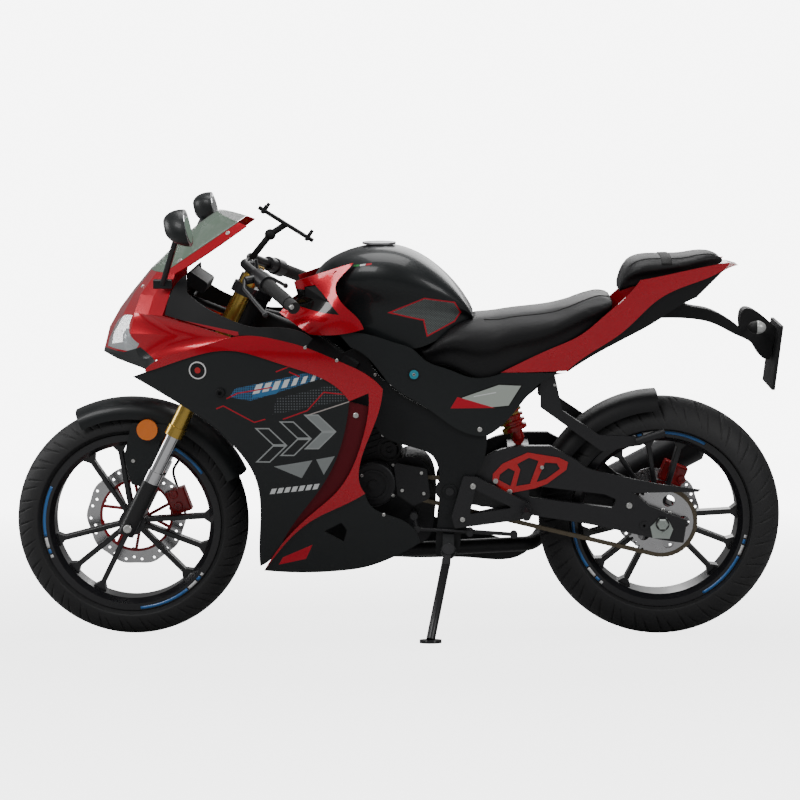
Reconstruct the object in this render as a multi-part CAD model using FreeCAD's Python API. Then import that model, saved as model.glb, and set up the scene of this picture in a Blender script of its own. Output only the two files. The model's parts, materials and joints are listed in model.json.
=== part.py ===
import FreeCAD, Part

# Sport motorcycle of about 250 cc, leaning on its side stand.
# Lengths are in millimetres. The machine is modelled upright in its own centre plane, front wheel
# towards -X, right side towards +Y, up is +Z, and is leaned over to its left as the last step.
# Side-view points are shares: the first of the wheelbase, counted back from the front axle, and the
# second of the body height, counted up from the floor. Widths are shares of the body half width.
import math
import os

# Driving dimensions
wheelbase = 1335.0
body_height = 1000.0
body_half_width = 250.0
lean_deg = 8.5
panel_wall = 4.0
joint_gap = 0.3
bore_gap = 0.05
cut_over = 5.0

front_tyre_radius = 293.0
front_tyre_half_width = 55.0
rear_tyre_radius = 306.0
rear_tyre_half_width = 75.0

rake_deg = 26.5
fork_offset = 38.0
fork_half_spacing = 96.0

lean = math.radians(lean_deg)
rake = math.radians(rake_deg)
X_AXIS = FreeCAD.Vector(1, 0, 0)
Y_AXIS = FreeCAD.Vector(0, 1, 0)
Z_AXIS = FreeCAD.Vector(0, 0, 1)
ORIGIN = FreeCAD.Vector(0, 0, 0)
full_turn = 2 * math.pi

front_axle_x = -(wheelbase + rear_tyre_radius - front_tyre_radius) / 2
rear_axle_x = front_axle_x + wheelbase


def axle_height(tyre_radius, crown_radius):
    """Height of a wheel centre in the leaning centre plane, so that the round crown just touches
    the floor."""
    return tyre_radius - crown_radius + crown_radius / math.cos(lean)


front_axle_z = axle_height(front_tyre_radius, front_tyre_half_width)
rear_axle_z = axle_height(rear_tyre_radius, rear_tyre_half_width)


# General shapes
def vec(x, y, z):
    """Point or direction from its three lengths."""
    return FreeCAD.Vector(x, y, z)


def spot(share, y=0.0):
    """Point of the side view given as shares, at the width y."""
    return vec(front_axle_x + share[0] * wheelbase, y, share[1] * body_height)


def width(share):
    """Distance from the centre plane, given as a share of the body's half width."""
    return share * body_half_width


def curve(points):
    """One edge: a line through two points, or a smooth curve through more."""
    if len(points) == 2:
        return Part.makeLine(points[0], points[1])
    spline = Part.BSplineCurve()
    spline.interpolate(points)
    return spline.toShape()


def closed_face(runs):
    """Face inside runs of points, where each run starts at the last point of the run before it."""
    return Part.Face(Part.Wire([curve(run) for run in runs]))


def slab(runs, low_y, high_y):
    """Side-view outline in shares, carried across from low_y to high_y."""
    face = closed_face([[spot(s, low_y) for s in run] for run in runs])
    return face.extrude(vec(0, high_y - low_y, 0))


def polygon(shares):
    """The runs of a straight-sided outline."""
    return [[a, b] for a, b in zip(shares, shares[1:] + shares[:1])]


def rounded(shape, radius, direction):
    """Rounds the edges that run along a direction."""
    edges = [
        e
        for e in shape.Edges
        if abs(abs(e.tangentAt(e.FirstParameter).dot(direction)) - 1) < 1e-6
    ]
    return shape.makeFillet(radius, edges)


def plate(shares, radius, low_y, high_y):
    """Straight-sided plate with rounded corners."""
    return rounded(slab(polygon(shares), low_y, high_y), radius, Y_AXIS)


def mirrored(shape):
    """The piece's twin on the other side of the centre plane."""
    return shape.mirror(ORIGIN, Y_AXIS)


def pair(shape):
    """A left piece and its twin on the right, which do not touch."""
    return Part.makeCompound([shape, mirrored(shape)])


def fused(shapes):
    """One solid out of several that overlap or touch."""
    shape = shapes[0]
    for other in shapes[1:]:
        shape = shape.fuse(other)
    clean = shape.removeSplitter()
    return clean if clean.isValid() else shape


def rod(start, end, radius):
    """Round bar from one point to another."""
    return Part.makeCylinder(radius, (end - start).Length, start, end - start)


def across(x, z, low_y, high_y, radius):
    """Round bar that runs across the machine."""
    return rod(vec(x, low_y, z), vec(x, high_y, z), radius)


def beam(start, end, wide, tall, corner):
    """Rectangular bar from one point to another, wide across the machine."""
    along = end - start
    along_n = vec(along.x, along.y, along.z).normalize()
    side = (Y_AXIS - along_n * Y_AXIS.dot(along_n)).normalize()
    up = side.cross(along_n)
    corners = [
        start + side * (wide / 2 * a) + up * (tall / 2 * b)
        for a, b in ((-1, -1), (1, -1), (1, 1), (-1, 1))
    ]
    face = Part.Face(Part.makePolygon(corners + corners[:1]))
    return rounded(face.extrude(along), corner, along_n)


def bent_tube(points, radius, bend):
    """Tube along straight runs with a round bend at each inner point."""
    edges = []
    last = points[0]
    for before, corner, after in zip(points, points[1:], points[2:]):
        back = (before - corner).normalize()
        on = (after - corner).normalize()
        half = back.getAngle(on) / 2
        reach = bend / math.tan(half)
        start, end = corner + back * reach, corner + on * reach
        middle_dir = (back + on).normalize()
        middle = corner + middle_dir * (bend / math.sin(half) - bend)
        edges.append(Part.makeLine(last, start))
        edges.append(Part.Arc(start, middle, end).toShape())
        last = end
    edges.append(Part.makeLine(last, points[-1]))
    path = Part.Wire(edges)
    ring = Part.Wire(Part.makeCircle(radius, points[0], points[1] - points[0]))
    return path.makePipeShell([ring], True, False)


def turned(points_or_edges, x, z):
    """Solid of revolution about a line across the machine. Points are (width, radius)."""
    face = Part.Face(Part.Wire(points_or_edges))
    return face.revolve(vec(x, 0, z), Y_AXIS, 360)


def ring_point(x, z, y, radius):
    """Highest point of a circle in the side view, at the width y."""
    return vec(x, y, z + radius)


def at_angle(x, z, radius, angle, y=0.0):
    """Point on a circle in the side view. Angle zero points back along +X and grows upwards."""
    return vec(x + radius * math.cos(angle), y, z + radius * math.sin(angle))


def section(x, half, low_share=None):
    """Closed section across the machine at x: (width, height) points of the right half from the top centre
    down to the foot, repeated on the left, with a flat underside."""
    right = [vec(x, y, z) for y, z in half]
    left = [vec(x, -y, z) for y, z in half[:0:-1]]
    over = curve(left + right)
    under = Part.makeLine(right[-1], left[0])
    return Part.Wire([over, under])


def lofted(wires, ruled=False):
    """Solid through closed wires, from the first to the last."""
    return Part.makeLoft(wires, True, ruled)


def largest(shape):
    """The solid with the largest volume."""
    return max(shape.Solids, key=lambda solid: solid.Volume)


def reach_to(start, along, panel):
    """Distance from a point to the first face of a panel on a straight way."""
    line = Part.makeLine(start, start + along)
    return min((v.Point - start).Length for v in line.common(panel).Vertexes)


def prop(start, along, panel, radius):
    """Post from a carrier to just short of the first face of a panel that it meets on its way."""
    on = vec(*along).normalize()
    post = rod(start, start + on * (reach_to(start, along, panel) - joint_gap), radius)
    return largest(post.cut(panel.copy().translate(on * -joint_gap)))


def seated(post, body, step):
    """Post that ends inside a thick body, cut back to stand just clear of its face. Step points to
    the post."""
    return largest(post.cut(body.copy().translate(vec(*step).normalize() * joint_gap)))


# Tyres and cast wheels
bead_radius = 217.0
flange_radius = 225.5
flange_thick = 4.0
flange_gap = 0.6
ring_wall = 8.0
well_depth = 12.0
spoke_reach_radius = bead_radius - ring_wall - well_depth
front_rim_half_width = 44.0
rear_rim_half_width = 57.0
spoke_wide = 13.0
spoke_flare = 15.0
spoke_flare_rise = 16.0
spoke_round = 3.0
front_spoke_half_depth = 15.0
rear_spoke_half_depth = 19.0
front_hub_radius = 33.0
front_hub_half_length = 40.0
rear_hub_radius = 42.0
rear_hub_half_length = 52.0
front_axle_radius = 8.0
rear_axle_radius = 9.0
spoke_fan_deg = 24.5
spokes_in_fan = 3
fans = 3
front_fan_deg = 99.0
rear_fan_deg = 99.0


def tyre(x, z, radius, half_width, rim_half_width):
    """Tyre with a round crown as wide as the tyre, and side walls that run down inside the rim flanges."""
    bead_y = rim_half_width - flange_thick - joint_gap
    crown_centre = radius - half_width
    lip = flange_radius + flange_gap

    def at(y, r):
        return ring_point(x, z, y, r)

    edges = [
        Part.makeLine(at(-bead_y, bead_radius), at(-bead_y, lip)),
        curve([at(-bead_y, lip), at(-(bead_y + half_width) / 2, lip + flange_gap),
        at(-half_width, crown_centre)]),
        Part.Arc(at(-half_width, crown_centre), at(0, radius), at(half_width, crown_centre)).toShape(),
        curve([at(half_width, crown_centre), at((bead_y + half_width) / 2, lip + flange_gap),
        at(bead_y, lip)]),
        Part.makeLine(at(bead_y, lip), at(bead_y, bead_radius)),
        Part.makeLine(at(bead_y, bead_radius), at(-bead_y, bead_radius)),
    ]
    return turned(edges, x, z)


def rim_ring(x, z, half_width):
    """Rim with two flanges, bead seats and a well."""
    seat = bead_radius - joint_gap
    inner = half_width - flange_thick
    shoulder = inner - well_depth
    half = [
        (inner, flange_radius),
        (half_width, flange_radius),
        (half_width, seat - ring_wall),
        (shoulder, spoke_reach_radius),
    ]
    outer_half = [(inner, seat), (shoulder, seat), (shoulder - well_depth, seat - well_depth)]
    right = half
    left = [(-y, r) for y, r in reversed(half)]
    well = [(-y, r) for y, r in outer_half] + [(y, r) for y, r in reversed(outer_half)]
    points = [ring_point(x, z, y, r) for y, r in right + left + well]
    return turned([Part.makeLine(a, b) for a, b in zip(points, points[1:] + points[:1])], x, z)


def spoke(x, z, angle, hub_radius, half_depth):
    """One spoke that flares where it meets the rim."""
    root = hub_radius / 2
    tip = spoke_reach_radius + ring_wall / 2
    flare_start = spoke_reach_radius - spoke_flare_rise
    half = spoke_wide / 2
    outline = [
        (root, -half),
        (flare_start, -half),
        (tip, -half - spoke_flare),
        (tip, half + spoke_flare),
        (flare_start, half),
        (root, half),
    ]
    points = [vec(x + r, -half_depth, z + t) for r, t in outline]
    bar = Part.Face(Part.makePolygon(points + points[:1])).extrude(vec(0, 2 * half_depth, 0))
    long_edges = [
        e for e in bar.Edges if abs(e.Length - (flare_start - root)) < joint_gap
    ]
    bar = bar.makeFillet(spoke_round, long_edges)
    return bar.rotate(vec(x, 0, z), Y_AXIS, -math.degrees(angle))


def cast_wheel(x, z, half_width, hub_radius, hub_half, half_depth, fan_deg, axle_radius):
    """Cast wheel: rim, hub and fans of three spokes."""
    spokes = [
        spoke(x, z, math.radians(fan_deg) + full_turn * f / fans
              + math.radians(spoke_fan_deg) * (s - (spokes_in_fan - 1) / 2), hub_radius, half_depth)
        for f in range(fans)
        for s in range(spokes_in_fan)
    ]
    hub = across(x, z, -hub_half, hub_half, hub_radius)
    wheel = rim_ring(x, z, half_width).fuse([hub] + spokes)
    bore = across(x, z, -2 * hub_half, 2 * hub_half, axle_radius + bore_gap)
    return wheel.cut(bore).removeSplitter()


# Brake discs
disc_thick = 4.0
disc_hole_radius = 3.4
front_disc_radius = 128.0
front_disc_y = 58.0
rear_disc_radius = 110.0
rear_disc_y = 74.0
petal_depth = 4.0
petals = 10
disc_band = 34.0
carrier_ring = 7.0
carrier_arm_wide = 8.0
carrier_arms = 5
carrier_lean_deg = 20.0
carrier_overlap = 1.0


def petal_disc(x, z, y, radius, hub_radius, hub_face, axle_radius):
    """Brake disc with a wavy rim and drilled band, on a carrier of slanted arms bolted to the hub."""
    count = petals * 8
    points = [
        at_angle(x, z, radius - petal_depth / 2 + petal_depth / 2 * math.cos(petals * full_turn * i / count),
                 full_turn * i / count, y)
        for i in range(count)
    ]
    rim = Part.BSplineCurve()
    rim.interpolate(points, True)
    inner = radius - disc_band
    band = Part.Face(Part.Wire(rim.toShape())).extrude(vec(0, disc_thick, 0))
    holes = [
        across(x + r * math.cos(a), z + r * math.sin(a), y - cut_over, y + disc_thick + cut_over,
        disc_hole_radius)
        for k in range(petals)
        for r, a in (
            (radius - disc_band * 0.3, full_turn * (k + 0.1) / petals),
            (radius - disc_band * 0.55, full_turn * (k + 0.38) / petals),
            (radius - disc_band * 0.38, full_turn * (k + 0.66) / petals),
        )
    ]
    opening = across(x, z, y - cut_over, y + disc_thick + cut_over, inner)
    band = band.cut(Part.makeCompound(holes + [opening]))
    outer_ring = across(x, z, y, y + disc_thick, inner + carrier_overlap).cut(
        across(x, z, y, y + disc_thick, inner - carrier_ring))
    boss = across(x, z, hub_face, y + disc_thick, hub_radius)
    arms = []
    for k in range(carrier_arms):
        for lean_sign in (-1, 1):
            a0 = full_turn * k / carrier_arms
            a1 = a0 + lean_sign * math.radians(carrier_lean_deg)
            foot = at_angle(x, z, hub_radius - carrier_arm_wide / 2, a0, y + disc_thick / 2)
            head = at_angle(x, z, inner - carrier_ring / 2, a1, y + disc_thick / 2)
            arms.append(beam(foot, head, disc_thick, carrier_arm_wide, disc_thick / 4))
    disc = band.fuse([outer_ring, boss] + arms)
    return disc.cut(across(x, z, -body_half_width, body_half_width,
                           axle_radius + bore_gap)).removeSplitter()


# Rear sprocket and chain
chain_pitch = 12.7
sprocket_teeth = 42
sprocket_thick = 6.0
tooth_rise = 4.2
tooth_root = 3.8
chain_y = -94.0
chain_plate = 1.6
chain_plate_tall = 11.0
chain_inside = 7.6
chain_roller_radius = 3.9
sprocket_rim = 15.0
sprocket_window_radius = 15.0
sprocket_windows = 5
engine_sprocket_radius = 28.5
engine_sprocket_spot_shares = (0.5515, 0.392)
sprocket_hub_radius = 40.0
sprocket_radius = chain_pitch / 2 / math.sin(math.pi / sprocket_teeth)


def rear_sprocket():
    """Toothed rear sprocket with five windows and its hub's bore."""
    x, z = rear_axle_x, rear_axle_z
    y = chain_y - sprocket_thick / 2
    tooth_shares = ((-0.30, -tooth_root), (-0.12, tooth_rise), (0.12, tooth_rise), (0.30, -tooth_root))
    points = [
        at_angle(x, z, sprocket_radius + rise, full_turn * (k + part) / sprocket_teeth, y)
        for k in range(sprocket_teeth)
        for part, rise in tooth_shares
    ]
    blank = Part.Face(Part.makePolygon(points + points[:1])).extrude(vec(0, sprocket_thick, 0))
    middle = (sprocket_radius - sprocket_rim + sprocket_hub_radius) / 2
    windows = [
        across(x + middle * math.cos(a), z + middle * math.sin(a), y - cut_over,
        y + sprocket_thick + cut_over,
               sprocket_window_radius)
        for a in (full_turn * k / sprocket_windows for k in range(sprocket_windows))
    ]
    hub = across(x, z, y, -rear_hub_half_length - joint_gap, sprocket_hub_radius)
    sprocket = blank.cut(Part.makeCompound(windows)).fuse(hub)
    bore = across(x, z, -body_half_width, body_half_width, rear_axle_radius + bore_gap)
    return sprocket.cut(bore).removeSplitter()


def chain():
    """Closed loop of two plate rows, with rollers between them on the straight runs."""
    front = spot(engine_sprocket_spot_shares)
    fx, fz, fr = front.x, front.z, engine_sprocket_radius
    rx, rz, rr = rear_axle_x, rear_axle_z, sprocket_radius
    base = math.atan2(rz - fz, rx - fx)
    span = math.hypot(rx - fx, rz - fz)
    open_angle = math.acos((rr - fr) / span)
    top = base + math.pi - open_angle
    low = base - math.pi + open_angle

    def loop(grow, y):
        p1, p2 = at_angle(fx, fz, fr + grow, top, y), at_angle(rx, rz, rr + grow, top, y)
        p3, p4 = at_angle(rx, rz, rr + grow, low, y), at_angle(fx, fz, fr + grow, low, y)
        back, nose = at_angle(rx, rz, rr + grow, base, y), at_angle(fx, fz, fr + grow, base + math.pi, y)
        return Part.Wire([
            Part.makeLine(p1, p2),
            Part.Arc(p2, back, p3).toShape(),
            Part.makeLine(p3, p4),
            Part.Arc(p4, nose, p1).toShape(),
        ])

    def row(y):
        outer = Part.Face(loop(chain_plate_tall / 2, y)).extrude(vec(0, chain_plate, 0))
        inner = Part.Face(loop(-chain_plate_tall / 2, y)).extrude(vec(0, chain_plate, 0))
        return outer.cut(inner)

    low_y = chain_y - chain_inside / 2 - chain_plate
    high_y = chain_y + chain_inside / 2
    rollers = []
    for side in (top, low):
        start, end = at_angle(fx, fz, fr, side), at_angle(rx, rz, rr, side)
        run = (end - start).Length
        count = int(run / chain_pitch / 2)
        for k in range(2, count - 2):
            p = start + (end - start) * (k / count)
            rollers.append(across(p.x, p.z, low_y + chain_plate / 2, high_y + chain_plate / 2,
                                  chain_roller_radius))
    return row(low_y).fuse([row(high_y)] + rollers)


# Steering: fork, yokes, handlebar
fork_dir = vec(math.sin(rake), 0, math.cos(rake))
fork_back = vec(math.cos(rake), 0, -math.sin(rake))
front_axle = vec(front_axle_x, 0, front_axle_z)
outer_tube_radius = 21.0
outer_tube_collar_radius = 23.5
outer_tube_collar_tall = 26.0
stanchion_radius = 18.0
lug_radius = 21.5
lug_top = 158.0
fork_outer_foot = 258.0
fork_top = 706.0
fork_cap_tall = 8.0
fork_cap_radius = 17.0
lug_drop = 20.0
axle_nut_radius = 12.0
axle_nut_reach = 7.0
lower_yoke_at = 505.0
upper_yoke_at = 668.0
yoke_tall = 26.0
yoke_clamp_radius = 32.0
stem_radius = 14.0
stem_boss_radius = 30.0
head_tube_radius = 27.0


def fork_point(along, y=0.0, back=0.0):
    """Point beside the fork: distance up the legs from the axle, width, and distance behind the legs."""
    return front_axle + fork_dir * along + fork_back * back + vec(0, y, 0)


def fork_outer_tubes():
    """Outer tubes of the upside-down fork with collars and caps."""
    y = -fork_half_spacing
    tube = rod(fork_point(fork_outer_foot, y), fork_point(fork_top, y), outer_tube_radius)
    collar = rod(fork_point(fork_outer_foot, y), fork_point(fork_outer_foot + outer_tube_collar_tall, y),
                 outer_tube_collar_radius)
    cap = rod(fork_point(fork_top, y), fork_point(fork_top + fork_cap_tall, y), fork_cap_radius)
    bore = rod(fork_point(fork_outer_foot - cut_over, y), fork_point(lower_yoke_at, y),
               stanchion_radius + joint_gap)
    return pair(fused([tube, collar, cap]).cut(bore))


def fork_legs():
    """Chromed stanchions, black axle lugs and the axle that ties them."""
    y = -fork_half_spacing
    stanchion = rod(fork_point(lug_top, y), fork_point(lower_yoke_at - cut_over, y), stanchion_radius)
    lug = rod(fork_point(-lug_drop, y), fork_point(lug_top, y), lug_radius)
    left = fused([stanchion, lug])
    side = fork_half_spacing + lug_radius
    axle = across(front_axle_x, front_axle_z, -side - axle_nut_reach / 2, side + axle_nut_reach / 2,
                  front_axle_radius)
    nuts = [
        across(front_axle_x, front_axle_z, -side - axle_nut_reach, -side + lug_radius / 2, axle_nut_radius),
        across(front_axle_x, front_axle_z, side - lug_radius / 2, side + axle_nut_reach, axle_nut_radius),
    ]
    inner = fork_half_spacing - lug_radius + flange_thick
    disc_face = front_disc_y + disc_thick
    spacers = [
        across(front_axle_x, front_axle_z, -inner, -front_hub_half_length - joint_gap,
        front_axle_radius * 2),
        across(front_axle_x, front_axle_z, disc_face + joint_gap, inner, front_axle_radius * 2),
    ]
    return fused([left, mirrored(left), axle] + nuts + spacers)


def yoke(along):
    """Clamp bridge that holds both fork tubes and the steering stem."""
    half = fork_half_spacing
    low, high = along - yoke_tall / 2, along + yoke_tall / 2
    clamps = [rod(fork_point(low, y), fork_point(high, y), yoke_clamp_radius) for y in (-half, half)]
    boss = rod(fork_point(low, 0, fork_offset), fork_point(high, 0, fork_offset), stem_boss_radius)
    web_points = [
        fork_point(low, -half - yoke_clamp_radius / 3, 0),
        fork_point(low, half + yoke_clamp_radius / 3, 0),
        fork_point(low, stem_boss_radius, fork_offset + stem_boss_radius / 2),
        fork_point(low, -stem_boss_radius, fork_offset + stem_boss_radius / 2),
    ]
    web = Part.Face(Part.makePolygon(web_points + web_points[:1])).extrude(fork_dir * yoke_tall)
    solid = fused(clamps + [boss, web])
    for y in (-half, half):
        solid = solid.cut(rod(fork_point(low - cut_over, y), fork_point(high + cut_over, y),
                              outer_tube_radius + joint_gap))
    return solid


handlebar_radius = 11.0
grip_radius = 16.5
grip_end_radius = 15.0
grip_end_long = 24.0
grip_long = 122.0
bar_centre_shares = (0.2285, 0.952)
bar_bend_shares = (0.2225, 0.955)
bar_bend_width = 0.40
grip_end_shares = (0.325, 0.873)
grip_end_width = 1.38
bar_bend_radius = 38.0
riser_radius = 14.0
riser_half_spacing = 42.0


def bar_points():
    """Middle, bend and left end of the handlebar."""
    return [
        spot(bar_centre_shares, 0),
        spot(bar_bend_shares, -width(bar_bend_width)),
        spot(grip_end_shares, -width(grip_end_width)),
    ]


def handlebar():
    """Upper and lower yokes, stem, risers and the bent bar."""
    centre, bend, end = bar_points()
    left = bent_tube([centre, bend, end], handlebar_radius, bar_bend_radius)
    stem = rod(fork_point(lower_yoke_at, 0, fork_offset), fork_point(upper_yoke_at, 0, fork_offset),
               stem_radius)
    risers = []
    for side in (-1, 1):
        foot = fork_point(upper_yoke_at, side * riser_half_spacing, fork_offset / 2)
        head = vec(centre.x, side * riser_half_spacing, centre.z)
        risers.append(rod(foot, head, riser_radius))
    return fused([yoke(lower_yoke_at), yoke(upper_yoke_at), stem, left, mirrored(left)] + risers)


def grips():
    """Rubber grips with end weights."""
    centre, bend, end = bar_points()
    on = (end - bend).normalize()
    grip = rod(end - on * (grip_end_long + grip_long), end - on * grip_end_long, grip_radius)
    weight = rod(end - on * (grip_end_long - joint_gap), end + on * (grip_end_long / 4), grip_end_radius)
    bore = rod(end - on * (grip_long + 2 * grip_end_long), end + on * joint_gap,
               handlebar_radius + bore_gap)
    return pair(fused([grip, weight]).cut(bore))


lever_radius = 5.0
lever_ahead = 62.0
lever_drop = 14.0
perch_radius = 19.0
perch_long = 30.0
switch_radius = 22.0
switch_long = 34.0
reservoir_radius = 14.0
reservoir_tall = 24.0
reservoir_sink = 15.0


def control_levers():
    """Switch housings, lever perches, levers, and the brake fluid pot on the right."""
    centre, bend, end = bar_points()
    on = (end - bend).normalize()
    grip_root = end - on * (grip_end_long + grip_long + joint_gap)
    ahead = (vec(-1, 0, 0) - on * on.dot(vec(-1, 0, 0))).normalize()
    switch = rod(grip_root, grip_root - on * switch_long, switch_radius)
    perch_at = grip_root - on * (switch_long + perch_long / 2)
    perch = rod(grip_root - on * (switch_long - joint_gap), grip_root - on * (switch_long + perch_long),
                perch_radius)
    knuckle = perch_at + ahead * (lever_ahead * 0.62)
    arm = rod(perch_at, knuckle, lever_radius * 2)
    lever_bend = knuckle + on * (lever_ahead * 0.55) + ahead * (lever_ahead * 0.3) - Z_AXIS * (lever_drop * 0.3)
    lever_tip = end - on * grip_end_long + ahead * lever_ahead - Z_AXIS * lever_drop
    lever = bent_tube([knuckle - on * lever_radius, lever_bend, lever_tip], lever_radius, lever_ahead * 0.3)
    tip = Part.makeSphere(lever_radius * 1.5, lever_tip)
    bore = rod(end, grip_root - on * (switch_long * 3), handlebar_radius + bore_gap)
    left = fused([switch, perch, arm, lever, tip]).cut(bore)
    right = mirrored(left)
    pot_foot = vec(knuckle.x, -knuckle.y, knuckle.z)
    pot_foot = pot_foot - fork_dir * reservoir_sink
    pot = rod(pot_foot, pot_foot + fork_dir * reservoir_tall, reservoir_radius)
    return Part.makeCompound([left, fused([right, pot])])


holder_foot_shares = (0.232, 0.962)
holder_ball_shares = (0.268, 1.022)
holder_front_shares = (0.247, 1.090)
holder_rear_shares = (0.348, 1.006)
holder_y = -34.0
holder_stem_radius = 8.0
holder_ball_radius = 14.0
holder_bar_wide = 22.0
holder_bar_thick = 9.0
holder_arm_reach = 42.0
holder_arm_thick = 9.0
holder_jaw_tall = 18.0
holder_round = 2.0
holder_arm_shares = (0.10, 0.90)


def phone_holder():
    """Cradle for a telephone on the bar: a stem, a ball, a back bar and four arms with hooked jaws."""
    foot, ball = spot(holder_foot_shares, holder_y), spot(holder_ball_shares, holder_y)
    front, rear = spot(holder_front_shares, holder_y), spot(holder_rear_shares, holder_y)
    on = (rear - front).normalize()
    up = on.cross(Y_AXIS)
    if up.z < 0:
        up = up * -1
    solid = [rod(foot, ball, holder_stem_radius), Part.makeSphere(holder_ball_radius, ball),
             rod(ball, (front + rear) / 2, holder_stem_radius),
             beam(front, rear, holder_bar_wide, holder_bar_thick, holder_round)]
    half = holder_arm_thick / 2
    for share in holder_arm_shares:
        root = front + (rear - front) * share - Y_AXIS * (holder_arm_reach + half)
        corners = [root + on * (half * a) + up * (half * b) for a,
                   b in ((-1, -1), (1, -1), (1, 1), (-1, 1))]
        arm = Part.Face(Part.makePolygon(corners + corners[:1])).extrude(Y_AXIS * (2 * (holder_arm_reach + half)))
        solid.append(arm)
        for side in (-1, 1):
            tip = front + (rear - front) * share + Y_AXIS * (side * holder_arm_reach)
            jaw = beam(tip, tip + up * holder_jaw_tall, holder_arm_thick, holder_arm_thick, holder_round)
            solid.append(jaw)
    bar = spot(bar_centre_shares)
    room = across(bar.x, bar.z, -body_half_width, body_half_width, handlebar_radius + joint_gap)
    return fused(solid).cut(room)


hose_radius = 3.5
hose_bend = 30.0
hose_drop = 26.0
hose_inward = 42.0
hose_ahead = 23.5
hose_clear = 2.4
hose_by_fork = ((600.0, 112.0, 60.0), (235.0, 94.0, 42.0))
hose_caliper_shares = ((0.0685, 0.408), (0.0780, 0.3655))
hose_caliper_y = 73.0


def front_brake_hose():
    """Brake hose from the right lever's perch, down behind the fork, to the front caliper."""
    centre, bend, end = bar_points()
    on = vec(end.x - bend.x, bend.y - end.y, end.z - bend.z).normalize()
    end = vec(end.x, -end.y, end.z)
    perch = end - on * (grip_end_long + grip_long + switch_long + perch_long / 2)
    ahead = (vec(-1, 0, 0) - on * on.dot(vec(-1, 0, 0))).normalize()
    start = perch + ahead * hose_ahead - on * (lever_radius * 2 + hose_clear)
    turn = start - on * hose_inward
    points = [start, turn - Z_AXIS * hose_drop] + [fork_point(*place) for place in hose_by_fork]
    points += [spot(share, hose_caliper_y) for share in hose_caliper_shares]
    return bent_tube(points, hose_radius, hose_bend)


# Side skins of the fairing
flank_x_shares = (-0.08, 0.02, 0.10, 0.18, 0.26, 0.36, 0.46, 0.58, 0.78)
flank_z_shares = (0.14, 0.28, 0.42, 0.56, 0.68, 0.76, 0.84, 0.97)
flank_width_shares = (
    (0.46, 0.50, 0.56, 0.62, 0.66, 0.66, 0.62, 0.50),
    (0.48, 0.56, 0.64, 0.72, 0.77, 0.78, 0.74, 0.62),
    (0.50, 0.62, 0.73, 0.82, 0.88, 0.89, 0.83, 0.68),
    (0.52, 0.67, 0.80, 0.91, 0.97, 0.98, 0.90, 0.72),
    (0.53, 0.70, 0.85, 0.96, 1.02, 1.02, 0.93, 0.74),
    (0.53, 0.70, 0.85, 0.96, 1.01, 1.00, 0.90, 0.72),
    (0.53, 0.68, 0.81, 0.90, 0.93, 0.90, 0.80, 0.66),
    (0.54, 0.65, 0.74, 0.79, 0.80, 0.76, 0.68, 0.56),
    (0.54, 0.62, 0.68, 0.70, 0.68, 0.64, 0.58, 0.48),
)
band_step = panel_wall + joint_gap
recess_step = 2 * band_step


def smooth_face(grid):
    """One smooth face through rows of points."""
    return Part.makeLoft([Part.Wire(curve(row)) for row in grid], False, False).Faces[0]


def skin_sheet(x_shares, z_shares, width_shares, step, wall):
    """Sheet on the left side through a grid of widths, moved inwards by a step."""
    grid = [
        [spot((xs, zs), -width(ws)) for zs, ws in zip(z_shares, row)]
        for xs, row in zip(x_shares, width_shares)
    ]
    sheet = smooth_face(grid).extrude(vec(0, wall, 0))
    sheet.translate(vec(0, step, 0))
    return sheet


def flank(runs, step=0.0, wall=panel_wall):
    """Fairing panel on the left side: a side-view outline laid on the flank skin."""
    sheet = skin_sheet(flank_x_shares, flank_z_shares, flank_width_shares, step, wall)
    return sheet.common(slab(runs, -2 * body_half_width, 0))


band_top_shares = [
    (0.045, 0.704), (0.066, 0.727), (0.125, 0.755), (0.185, 0.781), (0.215, 0.791), (0.247, 0.793),
    (0.290, 0.784),
    (0.342, 0.765), (0.398, 0.733), (0.465, 0.683), (0.481, 0.660)]
band_low_shares = [
    (0.047, 0.699), (0.111, 0.730), (0.148, 0.746), (0.195, 0.757), (0.225, 0.754), (0.259, 0.742),
    (0.314, 0.718),
    (0.384, 0.680), (0.420, 0.632)]
black_front_shares = [
    (0.022, 0.686), (0.062, 0.657), (0.096, 0.631), (0.136, 0.600), (0.176, 0.561), (0.205, 0.522),
    (0.228, 0.484),
    (0.246, 0.435), (0.253, 0.367), (0.250, 0.288), (0.249, 0.204)]
black_right_shares = [
    (0.420, 0.632), (0.406, 0.530), (0.392, 0.477), (0.366, 0.413), (0.332, 0.352), (0.296, 0.280),
    (0.264, 0.216),
    (0.249, 0.204)]
ribbon_out_shares = [
    (0.481, 0.660), (0.478, 0.630), (0.468, 0.583), (0.449, 0.520), (0.437, 0.465), (0.436, 0.430),
    (0.447, 0.397)]
ribbon_low_shares = [
    (0.447, 0.397), (0.394, 0.359), (0.354, 0.332), (0.315, 0.291), (0.281, 0.238), (0.256, 0.192)]
ribbon_in_shares = [
    (0.455, 0.651), (0.455, 0.613), (0.445, 0.545), (0.423, 0.461), (0.394, 0.401), (0.355, 0.353),
    (0.315, 0.302),
    (0.281, 0.246), (0.256, 0.192)]


def side_band():
    """Red band along the top of the side fairing."""
    tip, top_end = band_top_shares[0], band_top_shares[-1]
    low_tip, low_end = band_low_shares[0], band_low_shares[-1]
    notch = ribbon_in_shares[0]
    runs = [band_top_shares, [top_end, notch], [notch, low_end], band_low_shares[::-1], [low_tip, tip]]
    return pair(flank(runs))


def side_ribbon():
    """Red ribbon that runs down the rear edge of the side fairing to its lower tip."""
    runs = [ribbon_out_shares, ribbon_low_shares, ribbon_in_shares[::-1],
            [ribbon_in_shares[0], ribbon_out_shares[0]]]
    return pair(flank(runs))


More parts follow.
